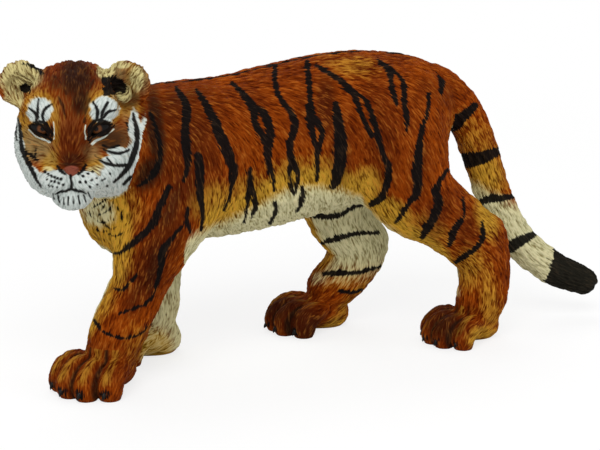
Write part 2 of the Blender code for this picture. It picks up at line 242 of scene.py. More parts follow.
def left_fore_leg():
    """The fore leg that steps out ahead."""
    x, y = SHOULDER_X, -9.0
    return [
        limb([(x, y, 48, 9.6), (x - 5.5, y - 1.5, 40, 9.2), (x - 11.2, y - 1.6, 31.5, 7.6),
              (x - 13.0, y - 0.4, 24.2, 5.9), (x - 15.6, y + 0.6, 18.0, 5.8), (x - 17.9, y + 1.4, 12.6, 5.8),
              (x - 19.4, y + 1.4, 8.5, 5.5)], 3.4),
        lump((x - 9.0, y - 2.5, 31), (4.4, 4.2, 5.2), blend=2.5),
    ]


def right_fore_leg():
    """The fore leg that stands under the shoulder."""
    x, y = SHOULDER_X, 9.0
    return [
        limb([(x + 1, y, 48, 9.8), (x - 1.5, y + 1.8, 39, 9.0), (x - 1.2, y + 2.6, 31, 7.6),
              (x - 2, y + 3, 23, 6.2), (x - 2, y + 3.0, 15, 5.6), (x - 2.8, y + 3.0, 9.0, 5.5)], 3.4),
        lump((x + 2.5, y + 2.5, 31), (4.2, 4.0, 5.0), blend=3),
    ]


def left_hind_leg():
    """The hind leg that pushes off behind."""
    x, y = HIP_X, -7.0
    return [
        limb([(x - 0.6, y, 54, 9.6), (x - 0.6, y - 2.4, 45.5, 10.1), (x + 1.0, y - 3.8, 37.4, 9.5),
              (x + 8.6, y - 4.6, 31.4, 7.6), (x + 16.6, y - 4.4, 25.0, 6.9), (x + 20.2, y - 4.0, 19, 5.9),
              (x + 20.7, y - 3.6, 13.0, 5.6), (x + 20.0, y - 3.0, 8.5, 5.5)], 3.6),
        lump((x + 21.6, y - 4.2, 25.2), (3.6, 3.2, 4.4), blend=2.5),
    ]


def right_hind_leg():
    """The hind leg that swings forward under the belly."""
    x, y = HIP_X, 7.0
    return [
        limb([(x, y, 53, 9.6), (x - 2.6, y + 2.5, 44, 10.2), (x - 7.3, y + 4.0, 35.0, 9.0),
              (x - 5.3, y + 4.6, 26.8, 7.5), (x - 1.0, y + 4.6, 19.8, 6.6), (x - 3.6, y + 5.4, 13.6, 5.9),
              (x - 7.2, y + 6.6, 9.8, 5.5)], 3.6),
        lump((x + 2.6, y + 4.5, 20.4), (3.2, 3.0, 3.8), blend=2.5),
    ]


# Each paw: the middle of its sole, its turn in degrees, its size and its stretch along the toes
PAWS = {
    "left_fore": (SHOULDER_X - 23.8, -8.2, 34.0, 1.12, 1.0),
    "right_fore": (SHOULDER_X - 8.0, 11.8, 4.0, 1.12, 1.0),
    "left_hind": (HIP_X + 14.4, -9.6, 10.0, 1.0, 1.08),
    "right_hind": (HIP_X - 14.2, 14.6, 4.0, 1.06, 1.08),
}

# Each toe: how far to the side and ahead it lies on a paw of size 1, and its splay in degrees
TOES = ((-5.3, 0.6, -10.0), (-1.85, 3.0, -3.0), (1.85, 3.0, 3.0), (5.3, 0.6, 10.0))

# How far the toes are let into the floor; then the claws: their height and place ahead of the toe, their
# length, radius and bend
SOLE_CUT = 1.3
CLAW_HEIGHT = 1.9
CLAW_AHEAD = 3.7
CLAW_LENGTH = 1.7
CLAW_RADIUS = 0.9
CLAW_BEND_DEGREES = 75.0


def paw_place(name, side, ahead, up):
    """A point on a paw, from the middle of its sole."""
    x, y, turn, size, stretch = PAWS[name]
    return np.array([x, y, 0.0]) + size * facing(turn).T @ np.array([side, ahead * stretch, up])


def paw(name):
    """Instep, heel and four curled toes side by side, reaching below the floor, where the soles are flat."""
    _, _, turn, size, _ = PAWS[name]
    way = facing(turn)
    forms = [
        lump(paw_place(name, 0, -2.2, 3.6), size * np.array([5.2, 6.0, 3.7]), way, 2.2),
        lump(paw_place(name, 0, -6.4, 2.9), size * np.array([4.3, 4.4, 3.8]), way, 2.0),
    ]
    for side, ahead, splay in TOES:
        reach = size * facing(turn + splay)[1]
        knuckle = paw_place(name, side * 0.85, ahead - 3.4, 5.2)
        top = paw_place(name, side, ahead - 0.2, 4.8)
        front = paw_place(name, side, ahead, 3.0) + 2.3 * reach
        tip = paw_place(name, side, ahead, 2.1 - SOLE_CUT) + 2.1 * reach
        toe = [(*knuckle, 1.5 * size), (*top, 2.15 * size), (*front, 2.2 * size), (*tip, 2.0 * size)]
        forms.append(limb(toe, 0.4, 3, inner=1.0))
    return forms


def tail():
    """The tail: it drops from the croup and sweeps out to a blunt tip."""
    x = HIP_X
    return [limb([(x + 3, 0, 59.2, 6.8), (x + 11.4, 0, 58.4, 5.6), (x + 17.0, 0, 55.6, 4.7),
                  (x + 21.3, 0, 50.6, 4.3), (x + 25.1, 0, 42.2, 4.1), (x + 29.4, 0.2, 31, 4.0),
                  (x + 35.7, -0.3, 20.2, 3.9),
                  (x + 44.4, -2.2, 12.6, 3.9), (x + 52.2, -4.6, 8.9, 3.2)], 2.5)]


def head_place(side, ahead, up):
    """A point on the head, from the middle of the skull."""
    return HEAD_AT + facing(HEAD_TURN, HEAD_DIP).T @ np.array([side, ahead, up], float)


def skull():
    """Skull, ruff, jowls, cheeks, brows, muzzle and chin; the ruff is fuller on the side towards the body."""
    way, at = facing(HEAD_TURN, HEAD_DIP), head_place
    forms = [
        lump(at(0, -1.0, 3.2), (11.4, 12.0, 12.0), way, 3),
        lump(at(-6.6, -1.6, -2.2), (6.0, 7.2, 8.6), way, 1.6),
        lump(at(8.8, -2.4, -2.2), (6.9, 6.0, 9.0), way, 1.2),
        lump(at(-4.6, 1.8, -7.4), (5.4, 6.4, 5.6), way, 3),
        lump(at(5.4, 1.2, -6.8), (5.6, 6.4, 5.4), way, 3),
        lump(at(0, 8.2, -4.8), (5.6, 6.2, 4.8), way, 2.5),
        limb([(*at(0, 5.6, 8.6), 4.8), (*at(0, 8.6, 4.2), 4.1), (*at(0.1, 11.6, -0.4), 3.2)], 2.4),
        lump(at(0, 8.4, -10.2), (4.5, 4.6, 3.5), way, 1.6),
    ]
    for side in (-1, 1):
        forms.append(lump(at(side * 7.5, 4.6, -1.0), (4.4, 5.0, 5.4), way, 3))
        forms.append(lump(at(side * 6.2, 7.4, 8.2), (3.8, 2.8, 2.6), way, 2.4))
        forms.append(lump(at(side * 5.4, 7.2, -5.2), (3.8, 4.6, 3.8), way, 2.5))
        forms.append(lump(at(side * 3.0, 10.9, -5.9), (3.6, 3.9, 2.95), way, 1.0))
    return forms


# The rims of the almond eye on the head: side, ahead, up and thickness, from the inner to the outer corner
UPPER_LID = ((3.5, 10.3, 1.9, 0.35), (4.4, 10.3, 4.2, 0.55), (5.9, 9.95, 5.75, 0.6), (7.6, 9.1, 5.4, 0.5),
             (8.8, 8.0, 4.5, 0.3))
LOWER_LID = ((3.5, 10.3, 1.9, 0.35), (4.9, 10.0, 2.2, 0.45), (6.4, 9.7, 2.85, 0.5), (7.7, 9.0, 3.6, 0.4),
             (8.8, 8.0, 4.5, 0.3))


def eye_sockets():
    """Almond sockets that slant down to the nose, the eyeballs in them, and a lid ridge above and below."""
    forms = []
    for side in (-1, 1):
        slant = facing(HEAD_TURN - side * 14.0, HEAD_DIP, side * EYE_SLANT)
        forms.append(lump(head_place(side * 6.1, 10.9, 3.7), (3.0, 2.2, 1.7), slant, 1.0, cut=True))
        eyeball = head_place(side * EYE_SIDE, EYE_AHEAD, EYE_UP)
        forms.append(lump(eyeball, (EYE_RADIUS - 0.25,) * 3, None, 0.25))
        for rim in (UPPER_LID, LOWER_LID):
            forms.append(limb([(*head_place(side * x, y, z), r) for x, y, z, r in rim], 0.5, 4, inner=0.3))
    return forms


def nose_and_mouth():
    """The nose pad with its nostrils, the groove under it and the line of the mouth."""
    way, at = facing(HEAD_TURN, HEAD_DIP), head_place
    forms = [
        lump(at(0.2, 13.5, -2.2), (2.8, 1.9, 1.5), way, 0.7),
        lump(at(0.3, 13.9, -3.5), (1.5, 1.2, 1.1), way, 0.6),
        limb([(*at(0.3, 15.4, -4.6), 0.3), (*at(0.3, 15.2, -7.9), 0.35)], 0.5, 2, cut=True),
    ]
    for side in (-1, 1):
        nostril = facing(HEAD_TURN, HEAD_DIP, side * 30)
        forms.append(lump(at(0.3 + side * 1.75, 15.0, -3.2), (0.8, 0.9, 0.42), nostril, 0.3, cut=True))
        mouth = [(*at(0.3, 14.4, -8.2), 0.45), (*at(side * 1.6 + 0.2, 13.8, -8.8), 0.45),
                 (*at(side * 3.4, 12.2, -9.1), 0.4), (*at(side * 5.6, 9.6, -8.6), 0.3)]
        forms.append(limb(mouth, 0.5, 3, cut=True))
    return forms


def ears():
    """Two round ears, cupped forward."""
    forms = []
    for side in (-1, 1):
        way = facing(HEAD_TURN - side * 14.0, HEAD_DIP - 6.0)
        forms.append(lump(head_place(side * 11.1, -3.4, 9.9), (4.9, 2.5, 4.9), way, 1.8))
        forms.append(lump(head_place(side * 10.9, 0.1, 9.5), (3.9, 2.6, 3.8), way, 0.9, cut=True))
        forms.append(lump(head_place(side * 9.9, -1.4, 8.5), (2.3, 2.0, 1.9), way, 0.7, cut=True))
    return forms


# The skin: the field sampled on a grid near the surface, and a closed net of quads drawn through it

def near_surface_grid(forms, low, high, step, cell=8):
    """The field on a grid, exact in the blocks of cell^3 points that the surface may cross."""
    low = np.array(low, float)
    blocks = np.ceil((np.array(high) - low) / step / cell).astype(int)
    corner = np.stack(np.meshgrid(*[np.arange(b) for b in blocks], indexing="ij"), -1).reshape(-1, 3)
    middle = (low + (corner * cell + (cell - 1) / 2) * step).astype(REAL)
    bundle = (corner // 4) @ np.array([10000, 100, 1])
    order = np.argsort(bundle, kind="stable")
    bundles = np.split(order, np.flatnonzero(np.diff(bundle[order])) + 1)
    rough = np.empty(len(corner), REAL)

    def measure(chosen):
        rough[chosen] = field(middle[chosen], forms)

    with ThreadPoolExecutor(4) as pool:
        list(pool.map(measure, bundles))
    near = np.abs(rough) < cell * step * 0.87 + 1.6
    values = np.where(rough < 0, REAL(-9), REAL(9)).reshape(blocks)
    values = values.repeat(cell, 0).repeat(cell, 1).repeat(cell, 2)
    offsets = np.stack(np.meshgrid(*[np.arange(cell)] * 3, indexing="ij"), -1).reshape(-1, 3)

    def refine(chosen):
        chosen = chosen[near[chosen]]
        if len(chosen):
            at = (corner[chosen][:, None, :] * cell + offsets[None]).reshape(-1, 3)
            values[at[:, 0], at[:, 1], at[:, 2]] = field((low + at * step).astype(REAL), forms)

    with ThreadPoolExecutor(4) as pool:
        list(pool.map(refine, bundles))
    return values, low


def net(values, low, step):
    """Surface net: in each cube that the surface crosses, one vertex at the mean of its edges' crossings, and
    across each crossed grid edge the quad of the four cubes around it, wound to face out."""
    inside = values < 0
    corners = np.array([(i, j, k) for i in (0, 1) for j in (0, 1) for k in (0, 1)])
    size = np.array(inside.shape) - 1
    filled = sum(inside[i:i + size[0], j:j + size[1], k:k + size[2]].astype(np.int8) for i, j, k in corners)
    cubes = np.argwhere((filled > 0) & (filled < 8))
    at = np.stack([values[tuple((cubes + c).T)] for c in corners], 1)
    total = np.zeros((len(cubes), 3), REAL)
    count = np.zeros(len(cubes), REAL)
    for a in range(8):
        for b in range(a + 1, 8):
            if np.abs(corners[a] - corners[b]).sum() == 1:
                crossed = (at[:, a] < 0) != (at[:, b] < 0)
                t = np.where(crossed, at[:, a] / np.where(crossed, at[:, a] - at[:, b], 1), 0)
                total += crossed[:, None] * (corners[a] + (corners[b] - corners[a]) * t[:, None])
                count += crossed
    points = (low + step * (cubes + total / count[:, None])).astype(REAL)
    index = np.full(size, -1, np.int32)
    index[tuple(cubes.T)] = np.arange(len(cubes))
    quads = []
    for axis in range(3):
        near, far = [slice(1, -1)] * 3, [slice(1, -1)] * 3
        near[axis], far[axis] = slice(0, -1), slice(1, None)
        change = inside[tuple(near)] != inside[tuple(far)]
        base = np.argwhere(change) + 1
        base[:, axis] -= 1
        u = np.eye(3, dtype=int)[(axis + 1) % 3]
        v = np.eye(3, dtype=int)[(axis + 2) % 3]
        ring = np.stack([index[tuple(r.T)] for r in (base - u - v, base - v, base, base - u)], 1)
        outward = ~inside[tuple(near)][change]
        ring[outward] = ring[outward][:, ::-1]
        quads.append(ring)
    return points, np.vstack(quads)


def vertex_normals(points, quads):
    """Unit sum of the cross products of the quads' diagonals at each vertex."""
    across = np.cross(points[quads[:, 2]] - points[quads[:, 0]], points[quads[:, 3]] - points[quads[:, 1]])
    normals = np.zeros_like(points)
    for axis in range(3):
        for corner in range(4):
            normals[:, axis] += np.bincount(quads[:, corner], across[:, axis], len(points))
    return normals / (np.linalg.norm(normals, axis=1, keepdims=True) + 1e-12)


def refined(points, quads, chosen, normals, measure):
    """The chosen quads cut in four. Each new point moves along the skin's normal to where measure is 0, but
    one on the rim of the chosen patch stays midway between its ends, which are given back with its number."""
    old = quads[chosen]
    ends = np.sort(np.stack([old, np.roll(old, -1, 1)], 2).reshape(-1, 2), 1)
    pairs, number, uses = np.unique(ends, axis=0, return_inverse=True, return_counts=True)
    middle = len(points) + number.reshape(-1, 4)
    hub = len(points) + len(pairs) + np.arange(len(old))
    fine = np.vstack([np.stack([old[:, k], middle[:, k], hub, middle[:, k - 1]], 1) for k in range(4)])
    added = np.vstack([points[pairs].mean(1), points[old].mean(1)])
    way = np.vstack([normals[pairs].mean(1), normals[old].mean(1)])
    added -= way * measure(added)[:, None]
    rim = np.flatnonzero(uses == 1)
    added[rim] = points[pairs[rim]].mean(1)
    every = np.vstack([points, added]).astype(REAL)
    return every, np.vstack([quads[~chosen], fine]), (len(points) + rim, pairs[rim])


def ramp(value, start, end):
    """0 before start, 1 after end, and an S between; start may be the larger."""
    t = np.clip((value - start) / (end - start), 0, 1)
    return t * t * (3 - 2 * t)


def lattice_noise(points, cell, seed):
    """Smooth noise from -1 to 1: a hashed number at each corner of a cubic lattice, blended between them."""
    scaled = points / REAL(cell)
    whole = np.floor(scaled).astype(np.int32)
    part = scaled - whole
    part = part * part * (3 - 2 * part)
    total = np.zeros(len(points), REAL)
    for i in (0, 1):
        for j in (0, 1):
            for k in (0, 1):
                code = ((whole[:, 0] + i) * np.int32(73856093)) ^ ((whole[:, 1] + j) * np.int32(19349663))
                code = code ^ ((whole[:, 2] + k) * np.int32(83492791)) ^ np.int32(seed * 7919)
                code = (code ^ (code >> 13)) * np.int32(1274126177)
                code = code ^ (code >> 16)
                weight = ((part[:, 0] if i else 1 - part[:, 0]) * (part[:, 1] if j else 1 - part[:, 1])
                          * (part[:, 2] if k else 1 - part[:, 2]))
                total += weight * ((code & 65535).astype(REAL) / REAL(32767.5) - 1)
    return total


def combed(points, lay, width, length, seed):
    """Strands: the lattice noise averaged along the lie of the fur, which leaves it varied only across it,
    scaled to a spread of about 1."""
    steps = np.linspace(-1, 1, 2 * int(np.ceil(length / width * 0.8)) + 1)
    window = np.cos(steps * np.pi / 2) ** 2
    total = np.zeros(len(points), REAL)

    def march(part):
        for t, w in zip(steps, window):
            if w > 1e-4:
                along = points[part] + lay[part] * REAL(t * length)
                total[part] += REAL(w) * lattice_noise(along, width, seed)

    parts = np.array_split(np.arange(len(points)), 4)
    with ThreadPoolExecutor(4) as pool:
        list(pool.map(march, parts))
    return total / total.std()


def in_blocks(points, work, size=6.0):
    """A function of points worked out block by block, so that forms far from a block are passed over."""
    block = np.floor(points / size).astype(np.int64) @ np.array([1000003, 1009, 1])
    order = np.argsort(block, kind="stable")
    groups = np.split(order, np.flatnonzero(np.diff(block[order])) + 1)
    first = work(points[groups[0]])
    out = np.zeros((len(points),) + first.shape[1:], REAL)

    def run(group):
        out[group] = work(points[group])

    with ThreadPoolExecutor(4) as pool:
        list(pool.map(run, groups))
    return out


# The lie of the fur

def trunk_lay(points):
    """Back along the spine, turning down the flanks: the angle below the horizontal grows in degrees from
    LAY_ON_SPINE to LAY_ON_FLANK, and on the chest the fur hangs down."""
    drop = np.clip((65 - points[:, 2]) / 18, 0, 1)
    angle = np.radians(LAY_ON_SPINE + (LAY_ON_FLANK - LAY_ON_SPINE) * drop)
    chest = ramp(points[:, 0], -34, -46)
    return np.stack([np.cos(angle) * (1 - 0.9 * chest), 0 * angle, -np.sin(angle) - 0.6 * chest], 1)


def head_lay(points):
    """Away from the nose, and downwards on the cheeks and the ruff."""
    way = facing(HEAD_TURN, HEAD_DIP)
    away = points - head_place(0, 15.0, -2.0)
    local = (points - HEAD_AT) @ way.T
    low = ramp(local[:, 2], 3, -6) * ramp(np.abs(local[:, 0]), 3, 8)
    return away / np.linalg.norm(away, axis=1, keepdims=True) - low[:, None] * way[2] * 0.9


def paw_lay(name, points):
    """Forward over the instep and down over the toes."""
    _, _, turn, size, _ = PAWS[name]
    ahead = facing(turn)[1]
    along = (points - paw_place(name, 0, 0, 0)) @ ahead
    down = ramp(along, 0.5 * size, 5.5 * size)[:, None]
    return ahead * (1 - down) - np.array([0, 0, 1.0]) * down + np.array([0, 0, -0.25])


# The photograph's view of the figurine, which places the painted marks

def view_axes():
    """Camera position, and its right, up and forward directions, in the sculptor's frame."""
    a, e = radians(VIEW_AZIMUTH), radians(VIEW_ELEVATION)
    back = np.array([sin(a) * cos(e), -cos(a) * cos(e), sin(e)])
    right = np.cross(-back, [0, 0, 1])
    right /= np.linalg.norm(right)
    return VIEW_TARGET + back * VIEW_DISTANCE, right, np.cross(right, -back), -back


def in_picture(points):
    """The pixel at which the photograph's camera sees each point."""
    eye, right, up, ahead = view_axes()
    offset = points - eye
    scale = VIEW_LENS / FILM_WIDTH * PICTURE[0] / (offset @ ahead)
    return np.stack([PICTURE[0] / 2 + scale * (offset @ right), PICTURE[1] / 2 - scale * (offset @ up)], 1)


def mark_distance(pixels, strokes):
    """Signed distance in pixels to the nearest tapered stroke: to its axis, less half its width there. Each
    stroke is a row of (x, y, width)."""
    best = np.full(len(pixels), 50.0, REAL)
    for stroke in strokes:
        path = smooth_path(stroke, 3)
        near = ((pixels > path[:, :2].min(0) - 14) & (pixels < path[:, :2].max(0) + 14)).all(1)
        some = pixels[near]
        if not len(some):
            continue
        away = np.full(len(some), 50.0, REAL)
        for a, b in zip(path[:-1], path[1:]):
            axis = b[:2] - a[:2]
            t = np.clip((some - a[:2]) @ axis / (axis @ axis + 1e-9), 0, 1)
            gap = np.linalg.norm(some - a[:2] - t[:, None] * axis, axis=1) - 0.5 * (a[2] + (b[2] - a[2]) * t)
            away = np.minimum(away, gap)
        best[near] = np.minimum(best[near], away)
    return best


def oval(pixels, x, y, across, down, tilt=0.0):
    """0 in the middle of an oval in the picture, 1 on its rim."""
    a = radians(tilt)
    dx, dy = pixels[:, 0] - x, pixels[:, 1] - y
    return np.hypot((dx * cos(a) + dy * sin(a)) / across, (dy * cos(a) - dx * sin(a)) / down)


# Painted marks, in pixels of the photograph: x, y and width along each stroke

FLANK_STRIPES = (
    ((176, 88, 3), (184, 100, 6), (187, 112, 8), (185, 130, 7), (187, 150, 8), (188, 165, 5),
     (184, 180, 3)),
    ((196, 90, 2), (202, 98, 5), (208, 109, 7), (215, 121, 8), (221, 135, 7), (227, 148, 8), (231, 162, 9),
     (234, 171, 8), (232, 184, 4), (229, 197, 3), (224, 210, 2)),
    ((213, 124, 4), (219, 140, 5), (226, 156, 6), (231, 168, 4)),
    ((198, 155, 6), (200, 168, 8), (200, 184, 7), (201, 203, 5), (203, 213, 3), (201, 230, 2)),
    ((232, 83, 3), (238, 89, 5), (247, 99, 7), (254, 110, 8), (254, 120, 6), (259, 131, 7), (266, 142, 8)),
    ((256, 108, 5), (263, 112, 7), (268, 122, 7), (270, 134, 8), (268, 146, 9), (268, 162, 6),
     (272, 175, 4), (274, 191, 2)),
    ((275, 64, 4), (275, 81, 4), (279, 96, 4), (286, 106, 5), (293, 116, 6), (295, 127, 7), (291, 140, 6),
     (290, 154, 7), (293, 164, 8), (298, 175, 4), (295, 193, 2)),
    ((291, 160, 5), (289, 174, 3), (294, 194, 2)),
    ((307, 62, 4), (309, 83, 5), (310, 98, 4), (310, 114, 9), (312, 129, 5), (316, 150, 4), (317, 165, 4),
     (317, 180, 2)),
    ((311, 115, 6), (319, 124, 5), (322, 134, 5), (318, 150, 5), (317, 162, 3)),
    ((336, 104, 5), (338, 122, 10), (341, 147, 12), (339, 165, 12), (336, 180, 9), (333, 187, 4)),
    ((317, 66, 3), (331, 75, 5), (342, 82, 6), (354, 94, 6), (359, 108, 4), (365, 123, 4), (372, 135, 5)),
    ((352, 91, 4), (364, 99, 4), (371, 113, 5), (376, 128, 5), (379, 142, 6), (384, 157, 5), (389, 169, 7),
     (387, 184, 6), (381, 198, 6), (371, 204, 5)),
    ((378, 60, 2), (383, 64, 4), (390, 72, 7), (391, 84, 4), (395, 99, 5), (397, 106, 2)),
    ((390, 68, 4), (399, 76, 3), (404, 85, 5), (404, 101, 5), (407, 118, 5), (407, 130, 2)),
    ((429, 94, 3), (427, 113, 4), (422, 129, 4), (419, 149, 7), (417, 171, 9), (417, 192, 8), (409, 203, 4),
     (400, 217, 4), (396, 222, 2)),
    ((447, 170, 3), (440, 181, 4), (436, 192, 8), (439, 203, 8), (434, 217, 8), (426, 230, 7),
     (422, 237, 4)),
    ((438, 68, 3), (440, 74, 5), (442, 82, 6), (441, 93, 3)),
    ((463, 198, 2), (464, 216, 2), (455, 228, 7), (451, 240, 6), (449, 245, 3)),
    ((482, 222, 2), (483, 238, 4), (474, 250, 4), (462, 258, 4), (455, 263, 2)),
    ((250, 169, 4), (250, 186, 5), (247, 207, 3), (244, 222, 2)),
    ((250, 184, 4), (255, 198, 4), (255, 209, 4), (251, 217, 2)),
    ((275, 203, 3), (276, 210, 4), (270, 224, 2)),
    ((302, 187, 3), (302, 201, 4), (297, 211, 2)),
    ((188, 208, 2), (187, 222, 3), (190, 232, 2)),
)
FORE_LEG_STRIPES = (
    ((169, 187, 5), (160, 206, 7), (154, 222, 8), (144, 233, 6), (133, 243, 7), (119, 253, 3),
     (102, 252, 2)),
    ((182, 227, 3), (172, 239, 4), (163, 252, 8), (161, 268, 6), (158, 280, 4), (154, 293, 3),
     (147, 303, 3), (133, 309, 2), (119, 314, 2)),
    ((113, 288, 1.5), (122, 290, 2.6), (130, 283, 3.4), (137, 275, 2.4)),
    ((94, 320, 2.6), (102, 331, 2.4), (116, 337, 2.8), (129, 338, 2.2), (142, 333, 2), (151, 324, 1.4)),
)
FAR_HIND_STRIPES = (
    ((300, 206, 3), (306, 213, 5), (322, 216, 6), (338, 216, 5), (352, 208, 4), (368, 202, 5)),
    ((322, 243, 4), (336, 239, 6), (352, 234, 5), (365, 233, 4), (378, 233, 4)),
    ((324, 274, 4), (338, 273, 6), (356, 273, 4), (370, 269, 4), (382, 266, 3)),
    ((340, 291, 4), (352, 292, 4), (362, 290, 3)),
)
TAIL_STRIPES = (
    ((441, 126, 13), (449, 125, 17), (457, 121, 15), (465, 115, 10), (475, 106, 7)),
    ((462, 160, 13), (470, 160, 16), (478, 159, 13), (487, 156, 12), (496, 152, 10), (503, 149, 8)),
    ((479, 203, 6), (490, 199, 8), (502, 198, 7), (514, 196, 5)),
    ((501, 250, 10), (510, 247, 12), (522, 240, 10), (534, 234, 6)),
)
FACE_MARKS = (
    ((22, 64, 1.5), (30, 65, 3), (37, 68, 4.5), (42, 73, 3)),
    ((38.5, 99, 1.5), (37.6, 112, 3), (36.8, 123, 3.2)),
    ((29, 108, 1.5), (35.5, 113, 3), (37, 118, 3)),
    ((52, 104, 1.8), (45, 109, 3.4), (42.5, 116, 3), (44, 122, 2.4)),
    ((93, 102, 1.8), (97.5, 110, 3.4), (97, 120, 3.4)),
    ((107.5, 102.5, 2.6), (102.7, 112, 3.4), (101, 121, 3)),
    ((116, 110, 1.8), (108, 112, 3.2), (103.5, 117.5, 3)),
    ((19, 118, 2.2), (20.6, 134, 3.2), (21.8, 148, 4.4), (26.8, 160, 5), (32.4, 171, 4.4), (36.8, 180, 3),
     (41, 187, 1.6)),
    ((22.5, 151, 3), (31, 155, 3.4), (37, 159.5, 2.4)),
    ((36, 150, 1.4), (35, 155, 2), (33, 158, 1.6)),
    ((15.6, 112, 2), (15.4, 120, 2.6), (16.5, 140, 1.4)),
    ((132.5, 114, 3), (136.5, 128, 4.6), (137, 142, 5.4), (133.5, 155, 5.6), (128.5, 167, 5),
     (121.5, 175, 4), (114, 182, 2.4)),
    ((103, 146, 2.4), (111, 147.6, 3), (119, 145.5, 2)),
    ((104, 149.5, 2), (112, 152.6, 3), (121, 153.2, 3), (129, 149.8, 2.6)),
    ((94.5, 155.5, 1.8), (103.8, 162.5, 3), (116, 165.4, 3.2), (128, 165.4, 3.4)),
    ((107, 158, 1.6), (113, 164.4, 2.2)),
    ((104.8, 178.6, 1.2), (101.8, 180.4, 1.8)),
    # The stroke below is a painted shadow: the dark border between the ruff and the neck.
    ((147, 122, 1.6), (148.6, 138, 3), (146.4, 154, 3), (138, 170, 3.4), (124, 184, 3)),
    ((127, 123, 1.6), (128.4, 130, 1.2)),
)
WHISKER_SPOTS = (
    (45.2, 172.2, 2.5), (48, 173.9, 2.6), (51.3, 176, 2.6), (54.7, 177.3, 2.6), (57.6, 178.3, 2.7),
    (60.8, 179, 2.7), (47, 179.5, 2.1), (51.3, 181.1, 2.4), (54.7, 181.7, 2.5), (58.6, 183.3, 2.6),
    (62.8, 184.8, 2.7), (48.5, 185.6, 1.9), (52.4, 186.8, 2.0), (57, 187.2, 2.0), (92.6, 171.6, 2.8),
    (88.1, 173.8, 2.8), (83.1, 176, 2.8), (96.5, 178.3, 2.4), (92, 180.5, 2.7), (85.9, 182.2, 2.9),
    (79.8, 182.2, 2.9), (97, 184.5, 2.3), (90, 187, 2.0), (110, 173.8, 2.0), (107, 186, 2.0),
)
LID_LINES = (
    ((29.5, 126.4, 1.6), (35, 122.6, 3.2), (41.5, 121.8, 3.4), (47.5, 125.5, 3.4), (51.2, 133, 3.6),
     (52, 140.5, 2.2)),
    ((29.5, 127.4, 1.2), (35.5, 132.8, 2.2), (43, 136, 2.8), (49.5, 138.4, 3.2), (52, 141.5, 1.8)),
    ((114.4, 125.6, 1.6), (107, 122.4, 3.2), (98.5, 119.8, 3.6), (92, 123.4, 3.6), (88.8, 131, 3.8),
     (89, 140.5, 2.4)),
    ((114, 126.6, 1.2), (106.5, 132.6, 2.4), (98.5, 135.2, 3), (92, 137.8, 3.4), (89.2, 142, 2)),
)
MOUTH_LINES = (
    ((70.6, 175.6, 2.6), (71.4, 182, 2.8), (71.6, 189, 3.4)),
    ((71.6, 189, 3.2), (66.5, 190.6, 2.8), (60, 192, 2.2), (55.5, 194, 1.2)),
    ((71.6, 189, 3.2), (77.5, 190.6, 2.8), (82.5, 192, 2.2), (86, 193.6, 1.2)),
)
NOSTRILS = (
    ((57.4, 166.4, 2.4), (60.5, 170.6, 3.6), (65, 174, 2.4)),
    ((86, 164.8, 2.4), (83, 169.8, 3.6), (78, 174, 2.4)),
)
FOREHEAD_STRIPES = (
    ((64, 64, 2), (68, 74, 4), (71, 86, 4), (75, 98, 3)),
    ((84, 63, 2), (81, 75, 4), (80, 90, 4), (80, 104, 3)),
    ((52, 74, 2), (60, 82, 4), (67, 94, 3)),
    ((98, 74, 2), (92, 83, 4), (86, 96, 3)),
    ((74, 64, 2), (75, 74, 3), (76, 84, 2)),
    ((58, 96, 2), (63, 106, 3), (66, 118, 2)),
    ((90, 98, 2), (86, 110, 3), (84, 122, 2)),
)
WHITE_LINES = (
    ((28.8, 129.6, 1.2), (36.5, 136.6, 1.6), (44, 139.6, 1.9), (49.5, 142, 2.2)),
    ((53.6, 122, 0.7), (54.2, 130, 1.0), (53.8, 139, 1.1)),
    ((85.6, 125, 0.8), (85, 131, 1.1), (86, 139, 1.3)),
    ((92, 144, 2.6), (97, 140, 2.4), (104, 137, 1.9), (113.8, 129, 1.3)),
)
EYE_ALMONDS = ((40.5, 130.0, 11.5, 6.6, 28), (100.5, 129.0, 13.0, 7.6, -22))
CHIN_DASHES = (
    ((58, 196, 1.4), (59.5, 202, 1.6)),
    ((63.5, 197.5, 1.2), (64, 204, 1.6)),
    ((68, 197, 1.6), (68.4, 205, 1.6)),
    ((73, 196.5, 1.2), (73.6, 203, 1.6)),
    ((78, 196, 1.4), (80, 203.5, 1.6)),
    ((83.5, 195, 1.4), (86, 201.5, 1.6)),
    ((88, 193, 1.4), (91, 198.5, 1.4)),
    ((53, 194, 1.2), (54, 199, 1.4)),
)
THROAT_TICKS = (
    ((106, 226, 0.9), (112, 229, 1.7), (118, 226, 1.1)),
    ((108, 234, 0.9), (116, 236, 1.7), (124, 232, 0.9)),
    ((117, 206, 0.7), (121, 214, 1.5), (122, 222, 0.9)),
    ((96, 230, 0.7), (101, 232, 1.3), (106, 231, 0.7)),
    ((92, 208, 0.9), (99, 204, 1.3), (106, 200, 0.9)),
    ((99, 215, 0.9), (106, 212, 1.5), (112, 206, 1.3), (114, 198, 0.9)),
    ((97, 221, 0.9), (103, 223, 1.3), (109, 220, 0.9)),
    ((112, 213, 0.7), (114, 220, 1.1)),
    ((88, 213, 0.7), (92, 217, 0.9)),
    ((104, 205, 0.7), (102, 210, 0.9)),
    # The last stroke is a painted shadow: the dark band down the neck behind the ruff.
    ((139, 186, 2.1), (150, 178, 5), (158, 166, 6), (160, 150, 5), (157, 132, 4), (150, 112, 3)),
)
